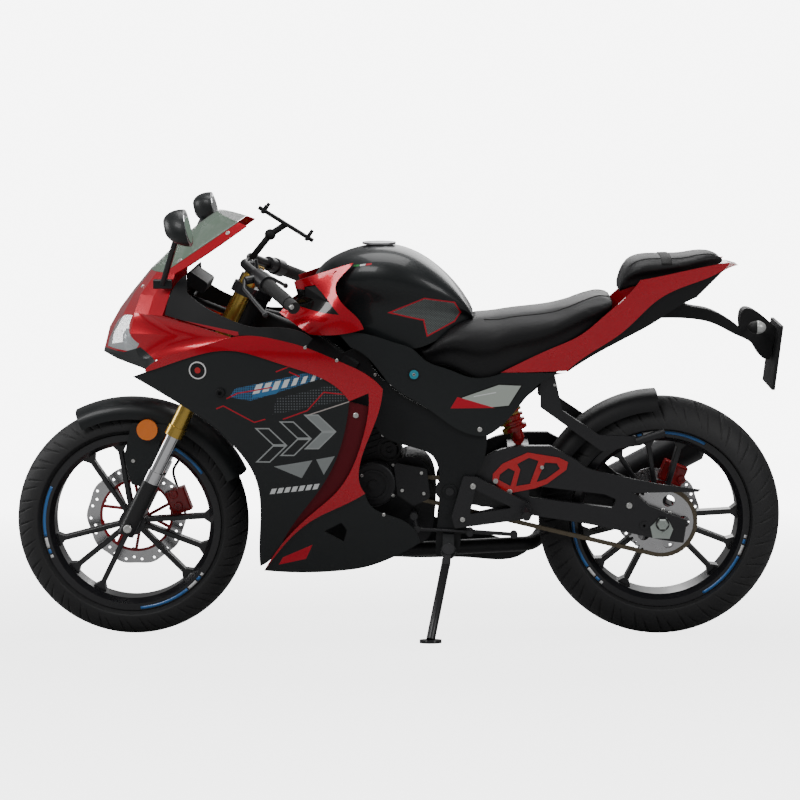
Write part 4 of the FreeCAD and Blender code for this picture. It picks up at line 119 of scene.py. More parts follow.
def smooth_shaded(mesh):
    """Shades every face of a mesh smooth."""
    mesh.polygons.foreach_set("use_smooth", np.ones(len(mesh.polygons), dtype=bool))


def coordinates(mesh):
    """The points of a mesh as rows of an array."""
    points = np.empty(len(mesh.vertices) * 3)
    mesh.vertices.foreach_get("co", points)
    return points.reshape(-1, 3)


def grid_faces(rows, cols, close_rows=False, close_cols=False):
    """Quads of a grid of rows by cols points, joined round where asked."""
    r = np.arange(rows if close_rows else rows - 1)
    c = np.arange(cols if close_cols else cols - 1)
    a, b = np.meshgrid(r, c, indexing="ij")
    a2, b2 = (a + 1) % rows, (b + 1) % cols
    quads = np.stack([a * cols + b, a2 * cols + b, a2 * cols + b2, a * cols + b2], -1)
    return quads.reshape(-1, 4)


class Pieces:
    """Gathers many small solids into one mesh."""

    def __init__(self):
        """Starts without any."""
        self.points, self.faces, self.count = [], [], 0

    def add(self, points, faces):
        """Takes one solid more."""
        points = np.asarray(points, float).reshape(-1, 3)
        self.faces += [[int(i) + self.count for i in f] for f in faces]
        self.points.append(points)
        self.count += len(points)

    def object(self, name, smooth):
        """The gathered solids as one object."""
        return mesh_object(name, np.concatenate(self.points), self.faces, smooth)


def frame_of(axis):
    """An axis as a unit vector, and two unit vectors square to it and to each other."""
    axis = np.asarray(axis, float) / np.linalg.norm(axis)
    other = np.array([0.0, 0.0, 1.0]) if abs(axis[2]) < 0.9 else np.array([1.0, 0.0, 0.0])
    a = np.cross(axis, other)
    a /= np.linalg.norm(a)
    return axis, a, np.cross(axis, a)


def circle(a, b, sides):
    """Unit vectors round a circle that starts at a and turns towards b."""
    t = np.arange(sides) * TAU / sides
    return np.cos(t)[:, None] * a + np.sin(t)[:, None] * b


def capped(rings, first, last):
    """Points and faces of rings of points, joined in order and closed on one point at each end."""
    rows, sides = rings.shape[:2]
    start, stop, top = rows * sides, rows * sides + 1, (rows - 1) * sides
    around = [(i, (i + 1) % sides) for i in range(sides)]
    faces = grid_faces(rows, sides, close_cols=True).tolist()
    faces += [[start, j, i] for i, j in around] + [[stop, top + i, top + j] for i, j in around]
    return np.concatenate([rings.reshape(-1, 3), [first], [last]]), faces


def prism(rim, low, high):
    """Points and faces of a flat plate: an outline of (x, z) points carried across from low to high."""
    n = len(rim)
    points = np.concatenate([np.stack([rim[:, 0], np.full(n, y), rim[:, 1]], -1) for y in (low, high)])
    faces = [[i, (i + 1) % n, n + (i + 1) % n, n + i] for i in range(n)]
    return leaned(points), faces + [list(range(n))[::-1], list(range(n, 2 * n))]


def turned_profile(profile, centre, axis, sides):
    """Points and faces of a profile of (along, radius) turned about an axis. Its ends close on the axis."""
    axis, a, b = frame_of(axis)
    prof = np.asarray(profile, float)
    rings = centre + prof[:, 0, None, None] * axis + prof[:, 1, None, None] * circle(a, b, sides)[None]
    return capped(rings, centre + prof[0, 0] * axis, centre + prof[-1, 0] * axis)


def tube_along(path, radius, sides):
    """Points and faces of a round tube along a path: circles square to the path, closed on its two ends."""
    tangent = np.gradient(path, axis=0)
    tangent /= np.linalg.norm(tangent, axis=1)[:, None]
    up = np.array([0.0, 0.0, 1.0])
    if np.abs(tangent @ up).max() > 0.95:
        up = np.array([0.0, 1.0, 0.0])
    side = np.cross(tangent, up)
    side /= np.linalg.norm(side, axis=1)[:, None]
    other = np.cross(side, tangent)
    t = np.arange(sides) * TAU / sides
    round_it = np.cos(t)[None, :, None] * side[:, None] + np.sin(t)[None, :, None] * other[:, None]
    return capped(path[:, None] + radius * round_it, path[0], path[-1])


# Materials
def new_group(name, ins, outs):
    """Shader node group with named inputs (name, type, default) and outputs (name, type)."""
    g = bpy.data.node_groups.new(name, "ShaderNodeTree")
    for label, kind, default in ins:
        s = g.interface.new_socket(label, in_out="INPUT", socket_type="NodeSocket" + kind)
        if default is not None:
            s.default_value = default
    for label, kind in outs:
        g.interface.new_socket(label, in_out="OUTPUT", socket_type="NodeSocket" + kind)
    return g, g.nodes.new("NodeGroupInput"), g.nodes.new("NodeGroupOutput")


def fill(nt, node, inputs):
    """Fills inputs of a node, by name or number: a socket is linked, anything else is the value."""
    for key, value in inputs.items():
        if isinstance(value, bpy.types.NodeSocket):
            nt.links.new(value, node.inputs[key])
        else:
            node.inputs[key].default_value = value
    return node


def add_node(nt, kind, inputs, operation=None):
    """New shader node with its inputs filled."""
    added = nt.nodes.new("ShaderNode" + kind)
    if operation:
        added.operation = operation
    return fill(nt, added, inputs)


def add_group(nt, group, inputs):
    """New node that uses a shared group, with its inputs filled."""
    added = nt.nodes.new("ShaderNodeGroup")
    added.node_tree = group
    return fill(nt, added, inputs)


def math_node(nt, operation, a, b):
    """Result of a sum or a comparison of two values or sockets."""
    return add_node(nt, "Math", {0: a, 1: b}, operation).outputs[0]


def object_place(nt):
    """Object coordinates: a point's place in the leaned frame, since each object stands at the origin."""
    return nt.nodes.new("ShaderNodeTexCoord").outputs["Object"]


def make_grain():
    """Fine leathery or moulded grain: noise of one scale as a height."""
    g, gi, go = new_group("grain", [("Scale", "Float", 900.0), ("Detail", "Float", 3.0)],
                          [("Height", "Float")])
    noise = add_node(g, "TexNoise", {
        "Vector": object_place(g), "Scale": gi.outputs["Scale"], "Detail": gi.outputs["Detail"]})
    fill(g, go, {"Height": noise.outputs["Fac"]})
    return g


def make_wear():
    """Soft uneven patches, such as dust and polish, as a factor between two given values."""
    g, gi, go = new_group("patches", [("Scale", "Float", 6.0), ("Low", "Float", 0.3), ("High", "Float", 0.5)],
                          [("Value", "Float")])
    noise = add_node(g, "TexNoise", {"Vector": object_place(g), "Scale": gi.outputs["Scale"], "Detail": 5.0})
    remap = add_node(g, "MapRange", {
        "Value": noise.outputs["Fac"], "From Min": 0.3, "From Max": 0.7,
        "To Min": gi.outputs["Low"], "To Max": gi.outputs["High"]})
    fill(g, go, {"Value": remap.outputs["Result"]})
    return g


def make_flakes():
    """Metal flakes in lacquer: fine cells that lighten the base colour by a random amount."""
    g, gi, go = new_group(
        "flakes",
        [("Base", "Color", (0.5, 0.0, 0.0, 1.0)), ("Scale", "Float", 1500.0), ("Amount", "Float", 0.3)],
        [("Color", "Color")])
    cells = add_node(g, "TexVoronoi", {"Vector": object_place(g), "Scale": gi.outputs["Scale"]})
    split = add_node(g, "SeparateColor", {"Color": cells.outputs["Color"]})
    light = math_node(g, "ADD", math_node(g, "MULTIPLY", split.outputs[0], gi.outputs["Amount"]), 0.8)
    lit = add_node(g, "VectorMath", {0: gi.outputs["Base"], "Scale": light}, "SCALE")
    fill(g, go, {"Color": lit.outputs[0]})
    return g


def make_edge():
    """One straight edge of a painted shape: 1 on its inner side, 0 outside."""
    g, gi, go = new_group(
        "paint_edge", [("Place", "Vector", None), ("Inward", "Vector", None), ("Offset", "Float", 0.0)],
        [("Mask", "Float")])
    dot = add_node(g, "VectorMath", {0: gi.outputs["Place"], 1: gi.outputs["Inward"]}, "DOT_PRODUCT")
    fill(g, go, {"Mask": math_node(g, "GREATER_THAN", dot.outputs["Value"], gi.outputs["Offset"])})
    return g


GRAIN, PATCHES, FLAKES, EDGE = make_grain(), make_wear(), make_flakes(), make_edge()

def shape_mask(nt, place, points, grow=0.0):
    """Mask of a convex shape given by (x, z) corners of the side view. Grow moves its edges outwards."""
    pts = np.asarray(points, float)
    centre = pts.mean(axis=0)
    mask = None
    for a, b in zip(pts, np.roll(pts, -1, axis=0)):
        inward = np.array([-(b - a)[1], (b - a)[0]])
        inward /= np.linalg.norm(inward)
        if inward @ (centre - a) < 0:
            inward = -inward
        edge = add_group(nt, EDGE, {
            "Place": place, "Inward": (inward[0], 0.0, inward[1]), "Offset": float(inward @ a) - grow})
        side = edge.outputs["Mask"]
        mask = side if mask is None else math_node(nt, "MINIMUM", mask, side)
    return mask


def place_of(nt):
    """Place on the machine before it leans: Object coordinates turned back by the lean."""
    mapping = nt.nodes.new("ShaderNodeMapping")
    mapping.vector_type = "TEXTURE"
    fill(nt, mapping, {
        "Vector": object_place(nt), "Location": (0.0, STEP_Y, 0.0), "Rotation": (LEAN, 0.0, 0.0)})
    return mapping.outputs["Vector"]


def paint(mat, layers):
    """Lays colours over a material's base colour, each where its mask is 1."""
    nt = mat.node_tree
    socket = nt.nodes["Principled BSDF"].inputs["Base Color"]
    last = socket.links[0].from_socket if socket.is_linked else tuple(socket.default_value)
    for mask, colour in layers:
        mix = nt.nodes.new("ShaderNodeMix")
        mix.data_type = "RGBA"
        fill(nt, mix, {"Factor": mask, "A": last, "B": (*colour, 1.0)})
        last = mix.outputs["Result"]
    nt.links.new(last, socket)


def material(name, color, rough=0.4, metal=0.0, coat=0.0, grain=0.0, grain_scale=900.0, rough_spread=0.08,
             specular=0.5, flakes=0.0):
    """Principled material whose roughness varies softly and whose surface carries a fine grain."""
    m = bpy.data.materials.new(name)
    m.use_nodes = True
    nt = m.node_tree
    shader = fill(nt, nt.nodes["Principled BSDF"], {
        "Base Color": (*color, 1.0), "Metallic": metal, "Coat Weight": coat, "Coat Roughness": 0.06,
        "Specular IOR Level": specular})
    wear = add_group(nt, PATCHES, {
        "Scale": PATCH_SCALE, "Low": max(rough - rough_spread / 2, 0.02), "High": rough + rough_spread / 2})
    fill(nt, shader, {"Roughness": wear.outputs["Value"]})
    if flakes:
        lacquer = add_group(nt, FLAKES, {"Base": (*color, 1.0), "Amount": flakes})
        fill(nt, shader, {"Base Color": lacquer.outputs["Color"]})
    if grain:
        relief = add_group(nt, GRAIN, {"Scale": grain_scale})
        bump = add_node(nt, "Bump", {
            "Strength": grain, "Distance": GRAIN_DEEP, "Height": relief.outputs["Height"]})
        fill(nt, shader, {"Normal": bump.outputs["Normal"]})
    return m


def glass(name, color, rough=0.03, alpha=0.4, coat=0.6, specular=0.5):
    """Tinted clear plastic, thin enough not to bend light: a gloss that lets part of the view through."""
    m = material(name, color, rough=rough, rough_spread=0.02, coat=coat, specular=specular)
    m.node_tree.nodes["Principled BSDF"].inputs["Alpha"].default_value = alpha
    return m


MATS = {
    "tyre": material("tyre_rubber", (0.016, 0.016, 0.017), rough=0.66, grain=0.25, grain_scale=1400.0),
    "wheel": material("wheel_black", (0.010, 0.010, 0.012), rough=0.30, coat=0.35, grain=0.05),
    "steel": material("disc_steel", (0.62, 0.62, 0.63), rough=0.26, metal=1.0, grain=0.1, grain_scale=600.0),
    "gold": material("fork_gold", (0.66, 0.44, 0.09), rough=0.28, metal=0.9, coat=0.4),
    "chrome": material("stanchion_chrome", (0.84, 0.84, 0.86), rough=0.09, metal=1.0, rough_spread=0.04),
    "black_metal": material("black_metal", (0.012, 0.012, 0.014), rough=0.40, grain=0.2, coat=0.15),
    "frame": material("frame_black", (0.009, 0.010, 0.011), rough=0.46, grain=0.2, specular=0.35),
    "alu": material("bare_alloy", (0.42, 0.42, 0.43), rough=0.36, metal=1.0, grain=0.15),
    "engine": material("engine_grey", (0.016, 0.016, 0.018), rough=0.46, metal=0.3, grain=0.35,
                       grain_scale=700.0),
    "red": material("red_lacquer", (0.52, 0.001, 0.014), rough=0.27, metal=0.45, coat=1.0, rough_spread=0.05,
                    specular=0.3, flakes=0.5),
    "red_metal": material("red_metal", (0.50, 0.006, 0.010), rough=0.34, coat=0.5),
    "plastic": material("dark_plastic", (0.013, 0.015, 0.016), rough=0.40, coat=0.12, grain=0.12,
                        specular=0.35),
    "matte": material("matte_plastic", (0.010, 0.010, 0.011), rough=0.58, grain=0.4, specular=0.3),
    "tank": material("tank_black", (0.009, 0.011, 0.012), rough=0.38, coat=0.25, rough_spread=0.05,
                     specular=0.35),
    "rubber": material("grip_rubber", (0.012, 0.012, 0.012), rough=0.70, grain=0.5, grain_scale=500.0),
    "vinyl": material("seat_vinyl", (0.009, 0.009, 0.010), rough=0.52, grain=0.45, grain_scale=420.0,
                      specular=0.35),
    "lamp": glass("lamp_glass", (0.82, 0.88, 0.90), alpha=0.34),
    "screen": glass("screen_smoke", (0.17, 0.23, 0.18), alpha=0.74, coat=0.1, specular=0.35),
    "amber": glass("amber_lens", (0.95, 0.22, 0.01), alpha=0.95, rough=0.12),
    "clear_red": glass("tail_lens", (0.70, 0.30, 0.29), alpha=0.85, rough=0.10),
    "chain": material("chain_steel", (0.15, 0.125, 0.09), rough=0.42, metal=0.85),
    "bolt": material("bolt_zinc", (0.70, 0.70, 0.68), rough=0.32, metal=0.8),
    "zinc": material("zinc_plate", (0.52, 0.58, 0.54), rough=0.34, metal=0.85),
    "white": material("white_paint", (0.80, 0.80, 0.80), rough=0.35, coat=0.4),
    "blue": material("blue_paint", (0.03, 0.16, 0.45), rough=0.35, coat=0.4),
    "cyan": material("cyan_anodised", (0.05, 0.42, 0.55), rough=0.25, metal=0.6, coat=0.4),
    "mirror": material("mirror_glass", (0.88, 0.90, 0.92), rough=0.04, metal=1.0, rough_spread=0.02),
    "silver": material("silver_plastic", (0.55, 0.56, 0.55), rough=0.35, metal=0.3, coat=0.4),
}
NODES_OF = {
    "tyre": "front_tyre rear_tyre",
    "wheel": "front_rim rear_rim",
    "steel": "front_disc rear_disc rear_sprocket",
    "chain": "chain",
    "gold": "fork_outer_tubes",
    "chrome": "fork_legs",
    "black_metal": "handlebar control_levers radiator swing_arm footrests foot_controls side_stand",
    "rubber": "grips front_brake_hose",
    "frame": "frame_main subframe",
    "engine": "engine_block engine_covers exhaust",
    "tank": "fuel_tank",
    "alu": "fuel_cap",
    "red": "tank_shrouds tail_panels nose_cowl side_band side_ribbon",
    "plastic": "mid_panels mirrors side_panel lower_fairing front_fender nose_lip",
    "vinyl": "seat_rider seat_pillion",
    "matte": "tail_tray plate_hanger instrument_panel inner_panels rear_hugger phone_holder",
    "clear_red": "tail_lamp",
    "lamp": "headlamps",
    "screen": "windshield",
    "red_metal": "heel_guard shock front_caliper rear_caliper",
    "amber": "fork_reflectors",
}
NODE_MATS = {node: key for key, nodes in NODES_OF.items() for node in nodes.split()}


def dress(obj, mat):
    """Gives an object one material."""
    obj.data.materials.clear()
    obj.data.materials.append(mat)


# Painted shapes, as corners in metres of the side view
WHITE, BLUE, RED = (0.72, 0.74, 0.74), (0.04, 0.17, 0.36), (0.50, 0.004, 0.020)
DARK, PALE = (0.004, 0.004, 0.004), (0.26, 0.28, 0.28)
CARRIER_RED = (0.42, 0.004, 0.012)
SLANT = 0.42


def slanted(x, z, wide, tall, rise):
    """Corners of a bar from its lower front corner, leaning back as it goes up and rising to the rear."""
    return [(x, z), (x + wide, z + rise * wide), (x + wide + SLANT * tall, z + tall + rise * wide),
            (x + SLANT * tall, z + tall)]


def line(a, b, wide):
    """Corners of a straight line of a given width between two points of the side view."""
    a, b = np.asarray(a, float), np.asarray(b, float)
    way = (b - a) / np.linalg.norm(b - a)
    side = np.array([-way[1], way[0]]) * wide / 2
    return [tuple(q) for q in (a - side, b - side, b + side, a + side)]


def union(nt, masks):
    """Mask that is 1 wherever any of the masks is."""
    total = masks[0]
    for m in masks[1:]:
        total = math_node(nt, "MAXIMUM", total, m)
    return total


def flat_place(nt, place):
    """The side view's x and z as a vector in the XY plane, for two-dimensional textures."""
    split = add_node(nt, "SeparateXYZ", {0: place})
    return add_node(nt, "CombineXYZ", {"X": split.outputs["X"], "Y": split.outputs["Z"]}).outputs[0]


def dots(nt, place, scale, share):
    """Rows of round dots over the side view."""
    cells = nt.nodes.new("ShaderNodeTexVoronoi")
    cells.voronoi_dimensions = "2D"
    fill(nt, cells, {"Vector": flat_place(nt, place), "Scale": scale, "Randomness": 0.0})
    return math_node(nt, "LESS_THAN", cells.outputs["Distance"], share)


def comb(nt, place, scale, share):
    """Mesh of staggered cells over the side view: 1 on the cells, 0 on the lines between them."""
    brick = add_node(nt, "TexBrick", {
        "Vector": flat_place(nt, place), "Scale": scale, "Mortar Size": share, "Mortar Smooth": 0.0,
        "Brick Width": 0.8, "Row Height": 0.4})
    return math_node(nt, "LESS_THAN", brick.outputs["Fac"], 0.5)


def radial_mask(nt, place, x, z, radius):
    """1 within a radius of the axis that crosses the side view at x and z."""
    off = add_node(nt, "VectorMath", {0: place, 1: (x, 0.0, z)}, "SUBTRACT")
    flat = add_node(nt, "VectorMath", {0: off.outputs[0], 1: (1.0, 0.0, 1.0)}, "MULTIPLY")
    size = add_node(nt, "VectorMath", {0: flat.outputs[0]}, "LENGTH")
    return math_node(nt, "LESS_THAN", size.outputs["Value"], radius)


def chevron(x, z, tall, wide):
    """Two bars that meet in a point towards the rear."""
    tip = x + 0.50 * tall
    upper = [(x, z + tall), (x + wide, z + tall), (tip + wide, z + tall / 2), (tip, z + tall / 2)]
    lower = [(x, z), (x + wide, z), (tip + wide, z + tall / 2), (tip, z + tall / 2)]
    return upper, lower


def side_graphics(nt, place):
    """Rising band of blue and white bars, outlined chevrons, fine lines and dots on the dark side panel."""
    def mask(corners, grow=0.0):
        """Mask of one convex shape on this panel."""
        return shape_mask(nt, place, corners, grow)

    block = [(-0.405, 0.642), (-0.390, 0.664), (-0.205, 0.706), (-0.150, 0.702), (-0.215, 0.678),
             (-0.352, 0.634)]
    speckle = [(-0.300, 0.600), (-0.290, 0.640), (-0.085, 0.690), (-0.095, 0.640)]
    layers = [
        (math_node(nt, "MINIMUM", mask(speckle), dots(nt, place, 150.0, 0.28)), (0.10, 0.11, 0.12)),
        (math_node(nt, "MINIMUM", mask(block), dots(nt, place, 230.0, 0.42)), BLUE),
        (mask([(-0.350, 0.640), (-0.336, 0.668), (-0.262, 0.684), (-0.290, 0.652)]), BLUE)]
    for k in range(8):
        bar = slanted(-0.348 + 0.0235 * k, 0.650 + 0.0052 * k, 0.017 - 0.0012 * k, 0.024 - 0.0012 * k, 0.22)
        layers.append((mask(bar), WHITE))
    for path in (
        ((-0.412, 0.638), (-0.385, 0.652), (-0.300, 0.668)), ((-0.290, 0.706), (-0.225, 0.732)),
        ((-0.258, 0.706), (-0.232, 0.694)),
        ((-0.275, 0.588), (-0.215, 0.610), (-0.175, 0.655), (-0.120, 0.648), (-0.085, 0.668)),
        ((-0.438, 0.612), (-0.420, 0.620), (-0.345, 0.580), (-0.318, 0.588)),
    ):
        layers += [(mask(line(a, b, 0.0030)), RED) for a, b in zip(path, path[1:])]
    tall, wide, edge = 0.088, 0.036, 0.0032
    for k, x in enumerate((-0.345, -0.285, -0.225)):
        low = 0.478 + 0.017 * k
        outer = union(nt, [mask(c) for c in chevron(x, low, tall, wide)])
        inner = union(nt, [mask(c, -edge) for c in chevron(x, low, tall, wide)])
        front, rear, foot, head = x - 0.05, x + 0.15, low + edge, low + tall - edge
        band = mask([(front, foot), (rear, foot), (rear, head), (front, head)])
        inner = math_node(nt, "MINIMUM", inner, band)
        layers.append((math_node(nt, "SUBTRACT", outer, inner), (0.34, 0.36, 0.36)))
        if k == 2:
            layers.append((inner, PALE))
    layers += [
        (mask([(-0.300, 0.468), (-0.205, 0.484), (-0.232, 0.438)]), PALE),
        (mask([(-0.196, 0.486), (-0.150, 0.494), (-0.178, 0.446)]), PALE),
        (mask(line((-0.215, 0.598), (-0.085, 0.640), 0.0028)), (0.45, 0.40, 0.38))]
    for k in range(7):
        bar = slanted(-0.312 + 0.0175 * k, 0.396 + 0.002 * k, 0.0125, 0.014, 0.12)
        layers.append((mask(bar), WHITE))
    return layers


def lower_graphics(nt, place):
    """Red flash at the foot of the lower fairing."""
    corners = [(-0.2955, 0.208), (-0.2845, 0.228), (-0.210, 0.262), (-0.227, 0.224)]
    return [(shape_mask(nt, place, corners), RED)]


def mid_graphics(nt, place):
    """Silver insert with a red stripe along its lower front edge."""
    silver = [(0.160, 0.627), (0.252, 0.6585), (0.307, 0.656), (0.276, 0.6075), (0.228, 0.603),
              (0.169, 0.622)]
    stripe = [(0.136, 0.603), (0.1505, 0.627), (0.229, 0.6035)]
    return [
        (shape_mask(nt, place, silver, 0.003), DARK), (shape_mask(nt, place, silver), (0.40, 0.44, 0.40)),
        (shape_mask(nt, place, stripe, 0.002), RED),
        (shape_mask(nt, place, line((0.190, 0.630), (0.245, 0.640), 0.0022)), WHITE)]


def tank_graphics(nt, place):
    """Knee pad of grey cells with a red edge, and a short tricolour flash at the front."""
    front = [(-0.012, 0.837), (0.069, 0.871), (0.141, 0.859), (0.1555, 0.8346), (0.141, 0.813),
             (0.060, 0.820)]
    rear = [(0.066, 0.826), (0.150, 0.836), (0.1405, 0.813), (0.0764, 0.7796)]

    def pad(grow):
        """Mask of the knee pad, its edge moved outwards."""
        return union(nt, [shape_mask(nt, place, front, grow), shape_mask(nt, place, rear, grow)])

    cells = math_node(nt, "MINIMUM", pad(0.0), comb(nt, place, 130.0, 0.07))
    layers = [(pad(0.0035), RED), (pad(0.0), (0.025, 0.027, 0.027)), (cells, (0.15, 0.17, 0.165))]
    for k, colour in enumerate(((0.02, 0.25, 0.05), WHITE, RED)):
        flash = slanted(-0.106 + 0.015 * k, 0.949 + 0.002 * k, 0.014, 0.0042, 0.15)
        layers.append((shape_mask(nt, place, flash), colour))
    return layers


def cheek_graphics(nt, place):
    """Red cheek between nose and band, and dark red inner faces behind the side panels."""
    cheek = [(-0.645, 0.790), (-0.5595, 0.834), (-0.3817, 0.802), (-0.372, 0.760), (-0.585, 0.715)]
    inner = [(-0.360, 0.150), (0.020, 0.150), (0.020, 0.648), (-0.115, 0.648)]
    return [(shape_mask(nt, place, cheek), (0.36, 0.002, 0.014)),
            (shape_mask(nt, place, inner), (0.10, 0.001, 0.006))]


def shroud_graphics(nt, place):
    """Inlet in the red shroud beside the tank painted near black, a painted shade for its hollow, with a red
    lip below it.
    """
    inlet = [(-0.268, 0.856), (-0.258, 0.8925), (-0.1860, 0.8895), (-0.1400, 0.8345), (-0.178, 0.8385)]
    # Near black over the inlet: painted shade for the hollow of the duct
    return [(shape_mask(nt, place, inlet), DARK)]


def leg_graphics(nt, place):
    """Black lower leg below the bright stanchion, parted square to the fork."""
    edge = add_group(nt, EDGE, {"Place": place, "Inward": (-0.446, 0.0, -0.895), "Offset": -0.0896})
    lower = edge.outputs["Mask"]
    metal = math_node(nt, "SUBTRACT", 1.0, lower)
    rough = math_node(nt, "ADD", math_node(nt, "MULTIPLY", lower, 0.25), 0.10)
    fill(nt, nt.nodes["Principled BSDF"], {"Metallic": metal, "Roughness": rough})
    return [(lower, (0.012, 0.012, 0.013))]


def carrier_paint(x, z, radius, colour):
    """Painter of a disc's carrier: a colour without metal within a radius of the wheel's axis."""
    def draw(nt, place):
        """Layers for one disc, with its metal turned off under the colour."""
        mask = radial_mask(nt, place, x, z, radius)
        fill(nt, nt.nodes["Principled BSDF"], {"Metallic": math_node(nt, "SUBTRACT", 1.0, mask)})
        return [(mask, colour)]
    return draw


def shock_paint(nt, place):
    """Gold damper body inside the red coils, told apart by distance from the shock's axis."""
    foot, head = np.array([0.262, 0.0, 0.498]), np.array([0.300, 0.0, 0.640])
    way = (head - foot) / np.linalg.norm(head - foot)
    off = add_node(nt, "VectorMath", {0: place, 1: tuple(foot)}, "SUBTRACT")
    cross = add_node(nt, "VectorMath", {0: off.outputs[0], 1: tuple(way)}, "CROSS_PRODUCT")
    size = add_node(nt, "VectorMath", {0: cross.outputs[0]}, "LENGTH")
    return [(math_node(nt, "LESS_THAN", size.outputs["Value"], 0.0262), (0.45, 0.30, 0.06))]


for node, obj in frame["nodes"].items():
    dress(obj, MATS[NODE_MATS[node]])
for node, draw in (
    ("side_panel", side_graphics), ("lower_fairing", lower_graphics), ("mid_panels", mid_graphics),
    ("fuel_tank", tank_graphics), ("inner_panels", cheek_graphics), ("fork_legs", leg_graphics),
    ("front_disc", carrier_paint(FRONT_X, FRONT_Z, 0.0935, CARRIER_RED)),
    ("rear_disc", carrier_paint(REAR_X, REAR_Z, 0.0755, CARRIER_RED)),
    ("shock", shock_paint), ("tank_shrouds", shroud_graphics),
):
    painted = MATS[NODE_MATS[node]].copy()
    painted.name = node + "_paint"
    paint(painted, draw(painted.node_tree, place_of(painted.node_tree)))
    dress(frame["nodes"][node], painted)


# Tyres
def tread_depth(theta, share, repeats):
    """Depth of the tread at an angle round the wheel and a share of the way from crown (0) to shoulder (1).

    Three families of slanted, curved sipes alternate: long ones from crown to shoulder, short ones on the
    shoulder and short ones near the crown.
    """
    s = np.abs(share)
    side = np.sign(share)
    depth = np.zeros_like(theta)
    for shift, start, stop, slant, wide in ((0.0, 0.16, 0.86, 0.62, 0.10), (0.5, 0.40, 0.97, 0.34, 0.08),
                                            (0.22, 0.06, 0.34, 0.95, 0.08)):
        phase = (theta * repeats / TAU + shift + 0.25 * side + slant * s * s + 0.18 * s) % 1.0
        across = np.abs(phase - 0.5)
        inside = np.clip((s - start) / 0.04, 0, 1) * np.clip((stop - s) / 0.04, 0, 1)
        taper = wide * np.clip((stop - s) / (stop - start) * 2.0, 0.35, 1.0) * 0.5
        depth = np.maximum(depth, inside * np.clip((taper - across) / 0.018, 0, 1))
    return depth * TREAD_DEEP


def tyre_piece(name, node, body, x, z, radius, crown, rim_half, repeats):
    """Tyre as a surface of two parameters: the angle round the wheel and the place along the section.

    The section is a half circle of the crown's radius, then a side wall that curves in to the bead and a
    short lip inside the rim. The tread sinks the crown by tread_depth. The side walls carry fine raised
    rings, and the points at the two lip edges close the section across the rim.
    """
    around, section = 900, 96
    centre = radius - crown
    bead_y = rim_half - 0.0043
    s = np.linspace(-1, 1, section)[1:-1]
    crown_part, wall_part = 0.66, 0.97
    a = np.clip(np.abs(s) / crown_part, 0, 1) * (math.pi / 2)
    w = np.clip((np.abs(s) - crown_part) / (wall_part - crown_part), 0, 1)
    y = crown * np.sin(a)
    r = centre + crown * np.cos(a)
    y = y + w * w * (3 - 2 * w) * (bead_y - crown)
    r = r + w * (BEAD_RADIUS - centre)
    rings = 0.0006 * (np.abs(((r - BEAD_RADIUS) * 1000) % 9.0 - 1.0) < 0.8) * (w > 0.15) * (w < 0.9)
    y = y + rings * 0.6
    r = np.where(np.abs(s) > wall_part, LIP_RADIUS, r)
    theta = np.arange(around) * TAU / around
    T, S = np.meshgrid(theta, s, indexing="ij")
    depth = tread_depth(T, S / crown_part, repeats)
    ny, nr = np.sin(a) * (w < 0.05), np.cos(a) * (w < 0.05)
    Y = (np.sign(s) * y)[None] - depth * (np.sign(s) * ny)[None]
    R = np.minimum(r[None] - depth * nr[None], radius - 0.0001)
    points = np.stack([x + R * np.cos(T), Y, z + R * np.sin(T)], -1)
    faces = grid_faces(around, len(s), close_rows=True, close_cols=True)
    obj = mesh_object(name, leaned(points).reshape(-1, 3), faces)
    dress(obj, MATS["tyre"])
    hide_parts(node)
    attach(obj, body)


# Rim stripes
def rim_stripes(name, body, x, z, half_width, turn):
    """Thin arcs of paint on both side faces of a rim flange, in three groups that start at turn degrees."""
    for key, spans in (("blue", ((0, 34), (43, 46))), ("white", ((35, 42), (47, 49)))):
        pieces = Pieces()
        for start, stop in [(turn + 120 * k + a, turn + 120 * k + b) for k in range(3) for a, b in spans]:
            n = max(int((stop - start) / 2) + 2, 4)
            t = np.radians(np.linspace(start, stop, n))
            for side in (-1, 1):
                y0, y1 = side * (half_width - 0.001), side * (half_width + 0.0004)
                corners = ((STRIPE_LOW, y0), (STRIPE_LOW, y1), (STRIPE_HIGH, y1), (STRIPE_HIGH, y0))
                edges = [np.stack([x + r * np.cos(t), np.full(n, y), z + r * np.sin(t)], -1)
                         for r, y in corners]
                last = 4 * (n - 1)
                faces = grid_faces(n, 4, close_cols=True).tolist()
                faces += [[0, 1, 2, 3], [last + 3, last + 2, last + 1, last]]
                pieces.add(leaned(np.stack(edges, 1)), faces)
        finish_pieces(pieces, name + "_" + key, key, body, True)

tyre_piece("front_tyre_tread", "front_tyre", "front_wheel", FRONT_X, FRONT_Z, FRONT_RADIUS, FRONT_CROWN,
           FRONT_RIM_HALF, 30)
tyre_piece("rear_tyre_tread", "rear_tyre", "rear_wheel", REAR_X, REAR_Z, REAR_RADIUS, REAR_CROWN,
           REAR_RIM_HALF, 28)


# Points on the machine's surfaces
def on_side(node, x, z, side):
    """Place and outward normal of a node's surface at x and z of the side view, both in the leaned frame."""
    start, aim = leaned([x, side * 1.0, z]), leaned([x, 0.0, z])
    hit, place, normal, _ = frame["nodes"][node].ray_cast(Vector(start), Vector(aim - start).normalized())
    return (np.array(place), np.array(normal)) if hit else None


def on_any(x, z, side, body):
    """Surface of all the nodes of a body that is met first at x and z, seen square from a side."""
    nodes = [node for node, obj in frame["nodes"].items() if obj.parent is frame["bodies"][body]]
    hits = [hit for hit in (on_side(node, x, z, side) for node in nodes) if hit]
    return max(hits, key=lambda hit: side * distance_across(hit[0]), default=None)


